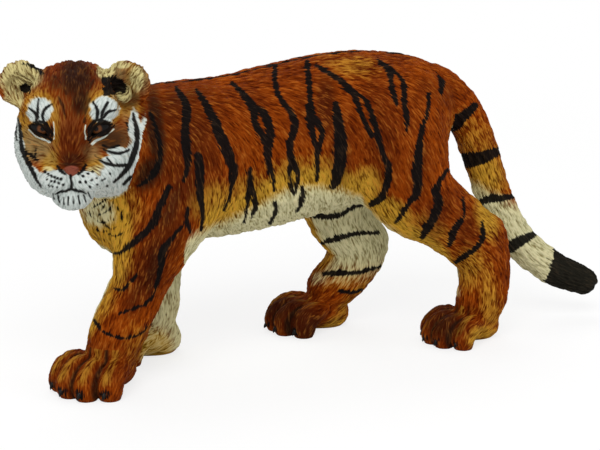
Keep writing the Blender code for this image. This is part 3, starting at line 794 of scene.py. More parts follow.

# Soft airbrushed patches in the same pixels, a few of them painted shade: x, y, half width, half height, tilt
# # in degrees, strength
RED_BROWN = (
    (190, 150, 34, 70, 8, 0.75), (165, 235, 26, 40, 20, 0.8), (152, 262, 17, 44, 12, 0.9),
    # The broad patch at (300, 140) is painted shade: it darkens the lower flank, as light from above falls
    # off.
    (136, 300, 13, 26, 25, 0.55), (300, 140, 150, 42, -5, 0.36), (235, 150, 16, 40, -15, 0.4),
    (262, 120, 16, 36, -14, 0.3), (310, 120, 14, 40, 0, 0.45), (340, 150, 14, 40, 0, 0.7),
    (384, 150, 20, 60, -12, 0.6), (418, 180, 20, 44, 5, 0.5), (436, 215, 18, 26, 10, 0.65),
    (466, 228, 16, 24, -20, 0.6), (432, 88, 16, 22, 0, 0.35), (440, 320, 20, 24, 0, 0.9),
    (98, 360, 62, 36, 0, 0.35), (300, 315, 46, 30, 0, 0.8), (155, 350, 26, 24, 0, 0.5),
    (140, 130, 20, 50, 0, 0.5), (174, 108, 18, 24, 0, 0.8), (447, 97, 12, 16, 0, 0.5),
    (326, 108, 12, 36, 0, 0.9), (213, 156, 9, 26, -10, 0.7), (262, 190, 7, 18, 0, 0.3),
)
GOLD = (
    (112, 225, 16, 46, -18, 0.9), (112, 262, 15, 30, -15, 0.75), (98, 300, 17, 26, 20, 0.6),
    (130, 205, 16, 26, 0, 0.35), (212, 202, 26, 20, -15, 0.6), (250, 188, 26, 16, -20, 0.5),
    (290, 170, 30, 14, -10, 0.5), (322, 168, 22, 16, 8, 0.5), (366, 186, 18, 20, 20, 0.8),
    (392, 210, 24, 12, 30, 0.85), (430, 228, 26, 12, 30, 0.5), (468, 268, 20, 26, 20, 0.5),
    (490, 300, 12, 46, -8, 0.45), (484, 338, 18, 14, 0, 0.7), (352, 66, 34, 13, 10, 0.36),
    (474, 142, 22, 34, -25, 0.4), (486, 178, 20, 30, -15, 0.7), (486, 218, 12, 24, -15, 0.7),
    (140, 345, 20, 26, 0, 0.3), (350, 304, 30, 30, 0, 0.85), (170, 345, 14, 30, 0, 0.75),
    (94, 236, 15, 30, -20, 0.85), (108, 272, 9, 26, 10, 0.9), (84, 326, 12, 26, 40, 0.8),
    (119, 214, 12, 30, -12, 0.95), (414, 234, 30, 7, 32, 0.9), (446, 262, 20, 7, 45, 0.85),
)
SMOKE_AND_SHADE = (
    # The first two patches are painted shadow: the dark band on the neck behind the ruff.
    (156, 132, 10, 48, -4, 1.0), (150, 172, 13, 24, 30, 1.0), (154, 268, 9, 30, 10, 0.6),
    (136, 295, 8, 24, 20, 0.4), (192, 180, 10, 60, 0, 0.4), (172, 205, 9, 30, 22, 0.6),
    (340, 150, 8, 38, 0, 0.5), (282, 318, 12, 10, 0, 0.6), (190, 96, 26, 9, -18, 0.5),
    (448, 326, 22, 18, 0, 0.6), (419, 170, 8, 36, 4, 0.5),
)
FACE_WHITE = (
    (39.5, 110, 12.5, 13, 0), (104, 109.5, 14.5, 13, -4), (116, 161, 16, 6, 0), (60, 177, 12, 7, 10),
    (84, 177, 11, 6, -10), (143, 150, 14, 34, 10), (120, 178, 26, 18, -32), (96, 188, 26, 13, -12),
    (17, 145, 7, 34, -8), (30, 182, 13, 22, -30), (52, 191, 14, 14, 0), (72, 204, 21, 13, 0),
    (50, 181, 14, 8, 25), (119, 152, 12, 5, 0), (70.5, 184, 10, 9, 0), (134, 126, 6, 16, 0),
    (88, 181, 14, 9, 0),
)
FACE_CREAM = (
    (20, 76, 21, 16, -10), (106, 70, 10, 8, -25), (118, 63, 13, 5, 10), (124, 93, 8, 9, 0),
    (137, 78, 7, 13, 0), (14, 96, 10, 16, 0), (97, 171, 13, 6, -12), (52, 173, 9, 5, 30),
)
FACE_GOLD = (
    (100, 214, 18, 16, 0, 1.0), (39.6, 108, 18, 20, 0, 0.75), (104.5, 107.5, 21.5, 20, 0, 0.75),
    (56, 130, 5, 34, 0, 0.5), (50, 160, 10, 14, 0, 0.75), (96, 162, 18, 8, 0, 0.6),
    (130, 108, 14, 12, 0, 0.55), (16, 106, 9, 18, 0, 0.6), (66, 200, 22, 8, 0, 0.3),
    (24, 128, 8, 20, 0, 0.6), (133, 80, 8, 24, 0, 0.7), (8, 82, 6, 20, 0, 0.5),
)
FACE_TAN = (
    (72, 125, 70, 66, 0, 0.25), (72, 128, 16, 30, 0, 0.3), (20, 76, 24, 18, -10, 1.0),
    (112, 72, 16, 12, 0, 1.0), (122, 92, 10, 12, 0, 0.9), (132, 84, 10, 26, 0, 0.7),
    (141, 78, 9, 17, 0, 0.9), (34, 148, 20, 16, 0, 0.95), (112, 138, 24, 16, 0, 0.8),
    (60, 120, 10, 18, 0, 0.3), (50, 158, 10, 10, 0, 0.5), (92, 152, 12, 12, 0, 0.7),
    (84, 118, 8, 22, 0, 0.3), (28, 136, 10, 12, 0, 0.7), (128, 118, 10, 12, 0, 0.5),
)
FACE_BROWN = (
    (70, 145, 16, 30, 0, 0.75), (112, 137, 22, 16, 0, 0.7), (50, 86, 18, 18, 0, 0.3),
    (74, 120, 16, 26, 0, 0.45), (104, 80, 18, 14, 0, 0.4), (74, 160, 17, 9, 0, 0.95),
    (84, 140, 10, 24, 0, 0.6),
)
FACE_SMOKE = (
    (72, 125, 70, 66, 0, 0.16), (76, 78, 19, 26, 0, 1.0), (80, 100, 10, 18, 6, 1.0),
    (58, 82, 12, 10, -30, 0.7), (96, 72, 12, 8, 20, 0.25), (73, 158, 16, 9, 0, 0.6),
    (70.5, 165, 14, 4, 0, 0.8), (74, 92, 20, 26, 0, 0.5), (128, 100, 16, 12, 0, 0.75),
    (110, 140, 18, 12, 0, 0.7), (84, 146, 8, 14, 0, 0.45), (34, 80, 10, 8, 20, 0.4),
    (146, 112, 8, 10, 0, 0.6), (66, 104, 6, 12, 0, 0.4),
)
CREAM_LINE = (
    (0, 700), (178, 700), (184, 246), (190, 232), (204, 225), (232, 213), (250, 204), (275, 191),
    (290, 183), (312, 181), (340, 184), (358, 192), (376, 212), (400, 232), (430, 250), (450, 268),
    (462, 290), (475, 370), (600, 700),
)

# Single places in the same pixels: ovals as x, y, half width, half height and tilt, then columns and rows.
# The last number of an ear hollow is how quickly its rim turns black.
EAR_HOLLOWS = ((24.5, 88, 6, 4, 25, 6), (114, 84, 12.5, 7.5, 16, 8), (110, 90, 8, 6, -20, 7))
NOSE_PAD = (71.6, 171.2, 8.4, 5.4)
NOSE_TAPER_ROWS = (168, 176)
THROAT_CREAM = (98, 212, 18, 15, 20)
THROAT_COLUMN = 165
FAR_HEEL = (156, 348, 17, 20)
FLANK_FRONT = (190, 212)
FLANK_BACK = (470, 440)
TAIL_TIP = (550, 262)
TAIL_TIP_WAY = (0.97, 0.24)
TAIL_CREAM_COLUMN = 500
TAIL_CREAM_ROWS = (182, 212)
SPINE_WIDTH = 6.4

# Marks on the skin itself, in millimetres; the face ends where the skin turns this far from the camera
SPINE_START_X = -40.0
EAR_SPOT_RADIUS = 1.9
TOE_GAPS = (-3.6, 0.0, 3.6)
# Widths of the painted shade in the toe creases and of the painted highlight on the toe tops
CREASE_WIDTH = 0.5
CROWN_WIDTH = 0.95
CLAW_SKIN = 1.35
NO_MARK = 9.0
FACE_EDGE = -0.25

# How far a right leg stands behind the left one, in millimetres, at heights above the floor
FORE_STANCE = ((3, 9, 13, 18, 24, 31, 40, 46), (-15.5, -16.6, -15.6, -13.8, -12.2, -10.4, -4.0, 0))
HIND_STANCE = ((3, 9, 13, 19, 25, 31, 37, 45, 52), (28.6, 27.2, 24.3, 21.2, 18.5, 14.0, 8.3, 2.0, 0))


def toe_marks(points, owner):
    """The painted shade in the creases between the toes and the painted highlight on the tops of the toes,
    from
    0 to 1, and the distance in millimetres to the dark skin at the roots of the claws."""
    crease_shade, crown_highlight = np.zeros((2, len(points)), REAL)
    horn = np.full(len(points), NO_MARK, REAL)
    for name, (x, y, turn, size, stretch) in PAWS.items():
        own = np.flatnonzero((owner == name) & (points[:, 2] < 9 * size))
        side, ahead, height = ((points[own] - [x, y, 0]) @ facing(turn).T / size).T
        ahead = ahead / stretch
        fan = side / (1 + 0.04 * ahead)
        forward = ramp(ahead, -3.0, 1.0)
        gap = np.min([np.abs(fan - middle) for middle in TOE_GAPS], 0)
        crease_shade[own] = np.exp(-(gap / CREASE_WIDTH) ** 2) * forward
        away = np.min([np.abs(fan - toe[0]) for toe in TOES], 0)
        crown_highlight[own] = np.exp(-(away / CROWN_WIDTH) ** 2) * forward * ramp(height, 2.2, 4.8)
        for toe_side, toe_ahead, splay in TOES:
            root = paw_place(name, toe_side, toe_ahead, CLAW_HEIGHT)
            root = root + CLAW_AHEAD * size * facing(turn + splay)[1]
            away = np.linalg.norm(points[own] - root, axis=1) - CLAW_SKIN * size
            horn[own] = np.minimum(horn[own], away)
    return crease_shade, crown_highlight, horn


class Coat:
    """The skin's points with all that the painter asks about them: the body part, the pixel, the side."""

    def __init__(self, points, normals, owner):
        self.points, self.normals, self.owner = points, normals, owner
        self.seen = normals @ -view_axes()[3]
        self.head, self.tail = owner == "head", owner == "tail"
        self.fore, self.hind = owner == "right_fore", owner == "right_hind"
        self.body = ~self.head & ~self.tail
        self.face = self.head & (self.seen > FACE_EDGE)
        self.nape = self.head & (self.seen <= FACE_EDGE)
        self.here = in_picture(points)
        self.there = in_picture(self.twin())
        self.throat = self.body & (self.here[:, 0] < THROAT_COLUMN) & (self.seen > 0)
        self.side, self.front, self.height = ((points - HEAD_AT) @ facing(HEAD_TURN, HEAD_DIP).T).T
        ear = (np.abs(self.side) > 6.0) & (self.front < -2.6)
        self.ear_back = ear & (ramp(self.height, 10.5, 12.0) > 0.5)
        spot = np.hypot(np.abs(self.side) - 11.1, (self.height - 12.2) * 0.9) < EAR_SPOT_RADIUS
        self.ear_spot = self.ear_back & spot

    def twin(self):
        """Each point moved to its twin on the left side: a right leg takes the left leg's stance, and noise
        keeps the two sides from being the same."""
        x, y, z = self.points.T
        lean = np.where(self.fore, np.interp(z, *FORE_STANCE), 0)
        lean = lean + np.where(self.hind, np.interp(z, *HIND_STANCE), 0)
        moved = self.points.copy()
        moved[:, 0] += lean * ramp(y, 0, 4)
        moved[:, 1] = -np.abs(y)
        wander = lattice_noise(self.points, 9.0, 5) * (y > 0) * 0.8
        return moved + wander[:, None]

    def lining(self):
        """1 on the pale inner sides of the legs, fading to 0 at the paws."""
        x, _, z = self.points.T
        far_leg = self.fore | self.hind
        inner = np.where(far_leg, -self.normals[:, 1], self.normals[:, 1])
        leg = far_leg | np.isin(self.owner, ("left_fore", "left_hind"))
        pale = leg * ramp(inner, 0.05, 0.5) * ramp(z, 8, 21)
        paw_x = PAWS["right_fore"][0]
        heel = ramp(x, paw_x - 3, paw_x + 1) * ramp(z, 0.2, 1.2)
        return np.maximum(pale, self.fore * ramp(inner, -0.35, 0.1) * np.maximum(ramp(z, 12, 16), 0.8 * heel))


def body_marks(coat, lining):
    """Distance in pixels to the stripes of trunk, legs and tail, and to the dark line along the back."""
    points, normals, here, there = coat.points, coat.normals, coat.here, coat.there
    marks = np.minimum(mark_distance(there, FLANK_STRIPES) - 0.5, mark_distance(there, FORE_LEG_STRIPES))
    marks += lining * 2.5
    from_spine = np.abs(points[:, 1] + 0.5 * lattice_noise(points, 4.0, 9)) * PIXELS_PER_MM
    line = from_spine - SPINE_WIDTH / 2 - 1.6 * lattice_noise(points, 3.0, 8)
    on_back = (coat.owner == "trunk") & (normals[:, 2] > 0.5) & (points[:, 0] > SPINE_START_X)
    marks = np.where(on_back, np.minimum(marks, line), marks)
    inner_side = coat.hind & (normals[:, 1] < 0.2)
    marks = np.where(inner_side, mark_distance(here, FAR_HIND_STRIPES), marks)
    past_tip = (here - np.array(TAIL_TIP)) @ np.array(TAIL_TIP_WAY)
    rings = np.minimum(mark_distance(here, TAIL_STRIPES), 5 * lattice_noise(points, 1.6, 3) - past_tip)
    return np.where(coat.tail, rings, marks)


def face_marks(coat):
    """Distance in pixels to the fine lines and spots of the face, the eye rims and the ear hollows."""
    here = coat.here
    lines = mark_distance(here, FACE_MARKS + LID_LINES + MOUTH_LINES + NOSTRILS + CHIN_DASHES)
    spots = mark_distance(here, [(spot, (spot[0] + 0.1, *spot[1:])) for spot in WHISKER_SPOTS])
    lines = np.minimum(lines, spots)
    for almond in EYE_ALMONDS:
        lines = np.minimum(lines, (oval(here, *almond) - 1) * 6)
    hollows = np.min([(oval(here, *hollow) - 1) * edge for *hollow, edge in EAR_HOLLOWS], 0)
    return np.minimum(lines, hollows + 2.0 * lattice_noise(coat.points, 1.0, 12))


def wavy_bars(height, drift, start, cell, seed, points):
    """Distance in pixels to bars that cross the height in waves, set off by drift and noise."""
    return np.abs(np.sin(0.5 * height + drift + lattice_noise(points, cell, seed))) * 7 - start


def black_marks(coat, lining):
    """Distance in pixels to the nearest black paint, all over the animal, with the painted shadow behind the
    ruff.
    """
    side = np.abs(coat.side)
    bars = wavy_bars(coat.height, 0.25 * side, 2.0, 7.0, 4, coat.points) + 8 * ramp(side, 7, 12)
    bars = np.where(coat.ear_spot, 5.0, np.where(coat.ear_back, -4.0, bars))
    black = np.where(coat.face, face_marks(coat), np.where(coat.nape, bars, body_marks(coat, lining)))
    turned = coat.head & (coat.seen < 0.3) & (side > 8.5) & (coat.height < 6)
    ruff = wavy_bars(coat.height, 0.35 * coat.front, 1.6, 6.0, 14, coat.points)
    ruff += 8 * ramp(coat.seen, 0.1, 0.3)
    black = np.where(turned, np.minimum(black, ruff), black)
    return np.where(coat.throat, np.minimum(black, mark_distance(coat.here, THROAT_TICKS)), black)


def airbrushed(pixels, table):
    """The strongest of a table's soft patches at each pixel."""
    total = np.zeros(len(pixels), REAL)
    for *patch, strength in table:
        total = np.maximum(total, strength * ramp(oval(pixels, *patch), 1.6, 0.3))
    return total


def warm_masks(coat, over_cream):
    """How far the coat goes to gold, red-brown, smoke and tan; the red-brown and the smoke also hold painted
    shade. over_cream is the distance in pixels below the line at which the belly turns cream."""
    here, face, nape = coat.here, coat.face, coat.nape
    at = np.where(coat.body[:, None], coat.there, here)
    gold = np.where(face, airbrushed(here, FACE_GOLD), np.where(nape, 0, airbrushed(at, GOLD)))
    brown = np.where(face, airbrushed(here, FACE_BROWN), np.where(nape, 0.25, airbrushed(at, RED_BROWN)))
    smoke_and_shade = np.where(face, airbrushed(here, FACE_SMOKE), np.where(nape, 0.2, airbrushed(at, SMOKE_AND_SHADE)))
    from_streak = mark_distance(here, FOREHEAD_STRIPES) + 1.5 * lattice_noise(coat.points, 1.1, 17)
    smoke_and_shade = np.where(face, np.maximum(smoke_and_shade, 0.85 * ramp(from_streak, 1.5, -1.5)), smoke_and_shade)
    tan = np.where(face, airbrushed(here, FACE_TAN), 0)
    flank = ramp(coat.there[:, 0], *FLANK_FRONT) * ramp(coat.there[:, 0], *FLANK_BACK) * coat.body
    gold = np.maximum(gold, 0.9 * flank * ramp(over_cream, -30, -4) * ramp(coat.points[:, 2], 14, 22))
    return gold, brown, smoke_and_shade, tan


def cream_masks(coat, lining, over_cream, heel_gold):
    """How far the coat goes to cream, and how far that cream is white, before the fine white lines."""
    here, face = coat.here, coat.face
    pale = ramp(over_cream, -7, 18) * coat.body * ramp(coat.points[:, 2], 9, 14)
    pale = np.maximum(pale, (coat.owner == "trunk") * ramp(coat.normals[:, 2], -0.55, -0.85))
    pale = np.maximum(pale, lining) * (1 - 0.5 * heel_gold)
    below_tail = here[:, 1] - 0.5 * (here[:, 0] - TAIL_CREAM_COLUMN)
    pale = np.where(coat.tail, ramp(below_tail, *TAIL_CREAM_ROWS), pale)
    pale = np.maximum(pale, 0.8 * ramp(oval(here, *THROAT_CREAM), 1.5, 0.5) * coat.throat)
    whites = np.min([oval(here, *row) for row in FACE_WHITE], 0) + 0.14 * lattice_noise(coat.points, 0.9, 21)
    creams = np.min([oval(here, *row) for row in FACE_CREAM], 0)
    faced = np.maximum(ramp(whites, 1.25, 0.8), 0.62 * ramp(creams, 1.35, 0.75))
    pale = np.where(face, faced * ramp(coat.seen, FACE_EDGE, -0.02), pale)
    pale = np.where(coat.nape, np.maximum(coat.ear_spot, 0.8 * ramp(coat.height, -4, -9)), pale)
    return pale, np.where(face, ramp(whites, 1.2, 0.9), 0.25 * pale)


def paint(points, normals, owner):
    """The painted coat at each point, as masks: the distance to the black marks in millimetres, and how far
    the coat goes to each of the other paints, from 0 to 1."""
    coat = Coat(points, normals, owner)
    here, lining = coat.here, coat.lining()
    over_cream = coat.there[:, 1] - np.interp(coat.there[:, 0], *np.array(CREAM_LINE).T)
    heel_gold = coat.fore * ramp(oval(here, *FAR_HEEL), 1.5, 0.5)
    black = black_marks(coat, lining)
    gold, brown, smoke_and_shade, tan = warm_masks(coat, over_cream)
    pale, white = cream_masks(coat, lining, over_cream, heel_gold)
    gold = np.maximum(gold, heel_gold)
    brown, smoke_and_shade = brown * (1 - heel_gold), smoke_and_shade * (1 - heel_gold)
    touched = ramp(mark_distance(here, WHITE_LINES), 0.8, -0.6) * coat.face * (black > 0.2)
    pale, white = np.maximum(pale, touched), np.maximum(white, touched)
    taper = 0.08 * np.abs(here[:, 0] - NOSE_PAD[0]) * ramp(here[:, 1], *NOSE_TAPER_ROWS)
    pink = np.minimum(coat.face, ramp(oval(here, *NOSE_PAD) + taper, 1.15, 0.85))
    pale *= 1 - pink
    crease_shade, crown_highlight, horn = toe_marks(points, owner)
    # Painted shade: the creases between the toes are darkened with umber.
    smoke_and_shade = np.maximum(smoke_and_shade, 0.95 * crease_shade)
    # Painted highlight: the tops of the toes are lightened with gold.
    gold = np.maximum(gold * (1 - 0.6 * crease_shade), 0.5 * crown_highlight)
    black = np.minimum(black / PIXELS_PER_MM, horn)
    return {"black": black, "pale": pale, "gold": gold, "brown": brown, "smoke_and_shade": smoke_and_shade, "tan": tan,
            "white": white, "pink": pink}


# Making the pieces

# The grid's corners; where the finer skin of the face starts and how far it reaches; by how much the head
# counts as nearer, so that it keeps its ruff; where chest and haunches part; the skin's margin in metres
SCULPT_LOW, SCULPT_HIGH = (-78.0, -36.0, -1.6), (82.0, 30.0, 78.0)
FACE_START = 3.2
FACE_REACH = 15.5
HEAD_FIRST = 1.2
WAIST_X = -6.0
SKIN_MARGIN = 0.00002


def body_parts():
    """The forms of each part of the animal, in the order in which they are joined."""
    return {
        "trunk": trunk(),
        "left_fore": left_fore_leg(),
        "right_fore": right_fore_leg(),
        "left_hind": left_hind_leg(),
        "right_hind": right_hind_leg(),
        "tail": tail(),
        "head": skull() + eye_sockets() + nose_and_mouth() + ears(),
        "left_fore_paw": paw("left_fore"),
        "right_fore_paw": paw("right_fore"),
        "left_hind_paw": paw("left_hind"),
        "right_hind_paw": paw("right_hind"),
    }


def part_lay(name, points):
    """The lie of the fur on one part of the animal."""
    if name == "trunk":
        return trunk_lay(points)
    if name == "head":
        return head_lay(points)
    if name.endswith("paw"):
        return paw_lay(name[:-4], points)
    down = PARTS[name][0].flow(points)
    if name == "tail":
        return down
    high = ramp(points[:, 2], 26, 44)[:, None]
    return down * (1 - 0.55 * high) + trunk_lay(points) * 0.55 * high + np.array([0.12, 0, 0])


def lie_of_fur(points, normals, near):
    """Each part's lie weighed by its nearness, and laid flat on the skin."""
    total = np.zeros_like(points)
    for name, away in near.items():
        weight = np.exp(-np.clip(away, 0, 30) / 1.6)
        some = weight > 1e-3
        if some.any():
            total[some] += weight[some, None] * part_lay(name, points[some])
    total -= normals * (total * normals).sum(1)[:, None]
    return (total / (np.linalg.norm(total, axis=1, keepdims=True) + 1e-9)).astype(REAL)


PARTS = body_parts()


def skin():
    """The whole skin: its points and quads, the body part and the masks of the paint at each point, and which
    quads are the finer ones of the face."""
    forms = [form for part in PARTS.values() for form in part]
    values, low = near_surface_grid(forms, SCULPT_LOW, SCULPT_HIGH, SKIN_STEP)
    levels = low[2] + SKIN_STEP * np.arange(values.shape[2])
    values = np.maximum(values, -levels.astype(REAL)[None, None, :])
    points, quads = net(values, low, SKIN_STEP)
    local = (points - HEAD_AT) @ facing(HEAD_TURN, HEAD_DIP).T
    front = (local[:, 1] > FACE_START) & (np.abs(local[:, 0]) < FACE_REACH)
    front &= np.abs(local[:, 2] + 2) < FACE_REACH
    facial = front[quads].all(1)

    def measure(some):
        return in_blocks(some.astype(REAL), lambda part: field(part, forms))

    points, quads, (rim, rim_ends) = refined(points, quads, facial, vertex_normals(points, quads), measure)
    normals = vertex_normals(points, quads)
    names = list(PARTS)

    def nearness(some):
        return np.stack([field(some, [f for f in PARTS[name] if not f.cut]) for name in names], 1)

    away = in_blocks(points, nearness)
    near = dict(zip(names, away.T))
    first = away - HEAD_FIRST * (np.array(names) == "head")
    owner = np.array([name.replace("_paw", "") for name in names])[first.argmin(1)]
    lay = lie_of_fur(points, normals, near)
    strand = STRAND_SHARE * combed(points, lay, STRAND_WIDTH, STRAND_LENGTH, 1)
    strand += TUFT_SHARE * combed(points, lay, TUFT_WIDTH, TUFT_LENGTH, 2)
    masks = paint(points, normals, owner)
    depth = fur_depth(points, near, owner)
    points = points + normals * (np.clip(strand, -2.2, 2.2) * depth)[:, None]
    masks["strand"] = strand * np.clip(depth / 0.1, 0, 1)
    masks["lay"] = lay
    points[rim] = points[rim_ends].mean(1)
    fine = np.arange(len(quads)) >= (~facial).sum()
    return points, quads, owner, masks, fine


def fur_depth(points, near, owner):
    """Height of the strands in millimetres: deep on the body, fine on the face and paws, none on nose, eyes
    and soles."""
    local = (points - HEAD_AT) @ facing(HEAD_TURN, HEAD_DIP).T
    front = ramp(local[:, 1], 0, 6) * (owner == "head")
    depth = FUR_DEPTH - FACE_THINNER * front
    paws = np.min([near[name] for name in near if name.endswith("paw")], 0)
    depth -= PAW_THINNER * ramp(paws, 2, 0)
    nose = np.linalg.norm((local - NOSE_AT) / NOSE_RADII, axis=1)
    depth *= ramp(nose, 0.95, 1.25)
    for side in (-1, 1):
        eyeball = np.linalg.norm(points - head_place(side * EYE_SIDE, EYE_AHEAD, EYE_UP), axis=1)
        depth *= ramp(eyeball, EYE_RADIUS + 0.05, EYE_RADIUS + 0.9)
    return depth * ramp(points[:, 2], 0.1, 1.5)


# Materials

def socket(nodes, links, kind, inputs, out=0, **settings):
    """A shader node with its settings and inputs, given as values or as other nodes' sockets."""
    node = nodes.new(kind)
    for key, value in settings.items():
        setattr(node, key, value)
    for key, value in inputs.items():
        if isinstance(value, bpy.types.NodeSocket):
            links.new(value, node.inputs[key])
        else:
            node.inputs[key].default_value = value
    return node.outputs[out]


class Shader:
    """A material's node tree, with short calls for the nodes that the coat needs."""

    def __init__(self, name):
        self.material = bpy.data.materials.new(name)
        self.material.use_nodes = True
        tree = self.material.node_tree
        self.nodes, self.links = tree.nodes, tree.links
        self.surface = self.nodes["Principled BSDF"]

    def attribute(self, name, out=2):
        return socket(self.nodes, self.links, "ShaderNodeAttribute", {}, out, attribute_name=name)

    def place(self):
        return socket(self.nodes, self.links, "ShaderNodeTexCoord", {}, 3)

    def noise(self, scale, detail=2.0, roughness=0.5, vector=None):
        vector = self.place() if vector is None else vector
        return socket(self.nodes, self.links, "ShaderNodeTexNoise",
                      {"Vector": vector, "Scale": scale, "Detail": detail, "Roughness": roughness})

    def sums(self, operation, a, b=0.0, c=0.0):
        return socket(self.nodes, self.links, "ShaderNodeMath", {0: a, 1: b, 2: c}, operation=operation)

    def step(self, value, start, end, low=0.0, high=1.0):
        return socket(self.nodes, self.links, "ShaderNodeMapRange",
                      {"Value": value, "From Min": start, "From Max": end, "To Min": low, "To Max": high},
                      interpolation_type="SMOOTHSTEP")

    def mix(self, share, a, b):
        return socket(self.nodes, self.links, "ShaderNodeMix", {0: share, 6: a, 7: b}, 2, data_type="RGBA")

    def along(self, start, way, distance):
        """start + way * distance."""
        return socket(self.nodes, self.links, "ShaderNodeVectorMath", {0: way, 1: (distance,) * 3, 2: start},
                      operation="MULTIPLY_ADD")

    def hairs(self, lay, width, reach, taps):
        """Noise averaged along the lie of the fur: hairs of a given width, from about -1 to 1."""
        start, total = self.place(), None
        for i in range(taps):
            t = 2 * i / (taps - 1) - 1
            share = cos(t * 1.4) ** 2
            grain = self.noise(1 / width, 0.0, 0.5, self.along(start, lay, t * reach))
            total = self.sums("MULTIPLY_ADD", grain, share, 0.0 if total is None else total)
        weights = sum(cos((2 * i / (taps - 1) - 1) * 1.4) ** 2 for i in range(taps))
        return self.sums("MULTIPLY_ADD", total, HAIR_CONTRAST / weights, -0.5 * HAIR_CONTRAST)

    def darker(self, share, a, b):
        return socket(self.nodes, self.links, "ShaderNodeMix", {0: share, 6: a, 7: b}, 2, data_type="RGBA",
                      blend_type="MULTIPLY")


def colour(red, green, blue):
    """A paint colour given in everyday 0 to 255 steps, as the light that it reflects."""
    parts = [v / 255 for v in (red, green, blue)]
    return (*[v / 12.92 if v <= 0.04045 else ((v + 0.055) / 1.055) ** 2.4 for v in parts], 1.0)


# The paints, and how far the wash in the grooves darkens each kind of fur
ORANGE = colour(142, 61, 5)
CHESTNUT = colour(112, 44, 5)
RUST = colour(78, 28, 5)
OCHRE = colour(188, 144, 46)
TAN = colour(136, 112, 70)
UMBER = colour(36, 22, 13)
BONE = colour(208, 197, 138)
SNOW = colour(200, 208, 203)
ROSE = colour(128, 68, 52)
INK = colour(16, 14, 13)
SOOT = colour(40, 31, 23)
GROOVE_WARM = (0.34, 0.24, 0.16, 1.0)
GROOVE_GOLD = (0.26, 0.22, 0.08, 1.0)
GROOVE_PALE = (0.38, 0.34, 0.2, 1.0)
GROOVE_WHITE = (0.5, 0.52, 0.5, 1.0)
RIDGE_WARM = colour(206, 122, 42)

# Painted hairs and their bump, in metres, and noise scales per metre
HAIR_WIDTH = 0.00034
HAIR_REACH = 0.0009
HAIR_CONTRAST = 9.0
HAIR_BUMP = 0.00009
GLOSS_PATCHES = 420
TINT_PATCHES = 90


def coat_paint():
    """Brushed paint over the moulded fur: the masks choose the colours, with ragged edges that follow the
    strands, a dark wash in the grooves and a dry-brushed light on the ridges."""
    s = Shader("painted_fur")
    lay = s.attribute("lay", 1)
    hair = s.hairs(lay, HAIR_WIDTH, HAIR_REACH, 9)
    strand = s.sums("MULTIPLY_ADD", hair, 0.8, s.sums("MULTIPLY", s.attribute("strand"), 0.4))
    mottle = s.noise(GLOSS_PATCHES, 3, 0.6)
    cloud = s.noise(TINT_PATCHES, 2, 0.5)
    fray = s.sums("MULTIPLY", strand, s.step(s.attribute("white"), 0.0, 1.0, 0.2, 0.07))

    def ragged(name, gain, start, end):
        value = s.attribute(name)
        shift = s.sums("MULTIPLY", s.sums("MULTIPLY", fray, gain), s.step(value, 0.0, 0.2))
        return s.step(s.sums("ADD", value, shift), start, end)

    tint = s.mix(s.step(cloud, 0.35, 0.7), ORANGE, CHESTNUT)
    # Gold, which on the toe tops is a painted highlight
    golden = ragged("gold", 1.0, 0.1, 0.95)
    coat = s.mix(golden, tint, OCHRE)
    coat = s.mix(ragged("tan", 0.8, 0.1, 1.0), coat, TAN)
    # Red-brown, which on the lower flank is painted shade
    coat = s.mix(ragged("brown", 0.8, 0.1, 1.0), coat, RUST)
    # Dark umber smoke, which in the toe creases and behind the ruff is painted shade
    coat = s.mix(s.sums("MULTIPLY", ragged("smoke_and_shade", 1.0, 0.15, 1.0), 0.92), coat, UMBER)
    pale = ragged("pale", 1.0, 0.15, 0.9)
    coat = s.mix(pale, coat, s.mix(s.attribute("white"), BONE, SNOW))
    lit = s.sums("MULTIPLY", s.step(strand, 0.0, 1.7), s.step(pale, 0.0, 1.0, 0.35, 0.08))
    lit = s.sums("MULTIPLY", lit, s.step(s.attribute("smoke_and_shade"), 0.2, 1.0, 1.0, 0.35))
    coat = s.mix(lit, coat, RIDGE_WARM)
    groove = s.mix(golden, GROOVE_WARM, GROOVE_GOLD)
    groove = s.mix(pale, groove, s.mix(s.attribute("white"), GROOVE_PALE, GROOVE_WHITE))
    coat = s.darker(s.step(strand, 0.6, -1.5), coat, groove)
    coat = s.mix(s.attribute("pink"), coat, ROSE)
    ink = s.step(s.sums("MULTIPLY_ADD", fray, 1.2, s.attribute("black")), 0.24, -0.16)
    coat = s.mix(s.sums("MULTIPLY", ink, 0.985), coat, s.mix(s.step(strand, 0.0, 1.8), INK, SOOT))
    s.links.new(coat, s.surface.inputs["Base Color"])
    s.links.new(s.step(mottle, 0.3, 0.75, 0.55, 0.75), s.surface.inputs["Roughness"])
    s.surface.inputs["Specular IOR Level"].default_value = 0.02
    bump = socket(s.nodes, s.links, "ShaderNodeBump",
                  {"Strength": 0.6, "Distance": HAIR_BUMP, "Height": hair})
    s.links.new(bump, s.surface.inputs["Normal"])
    return s.material


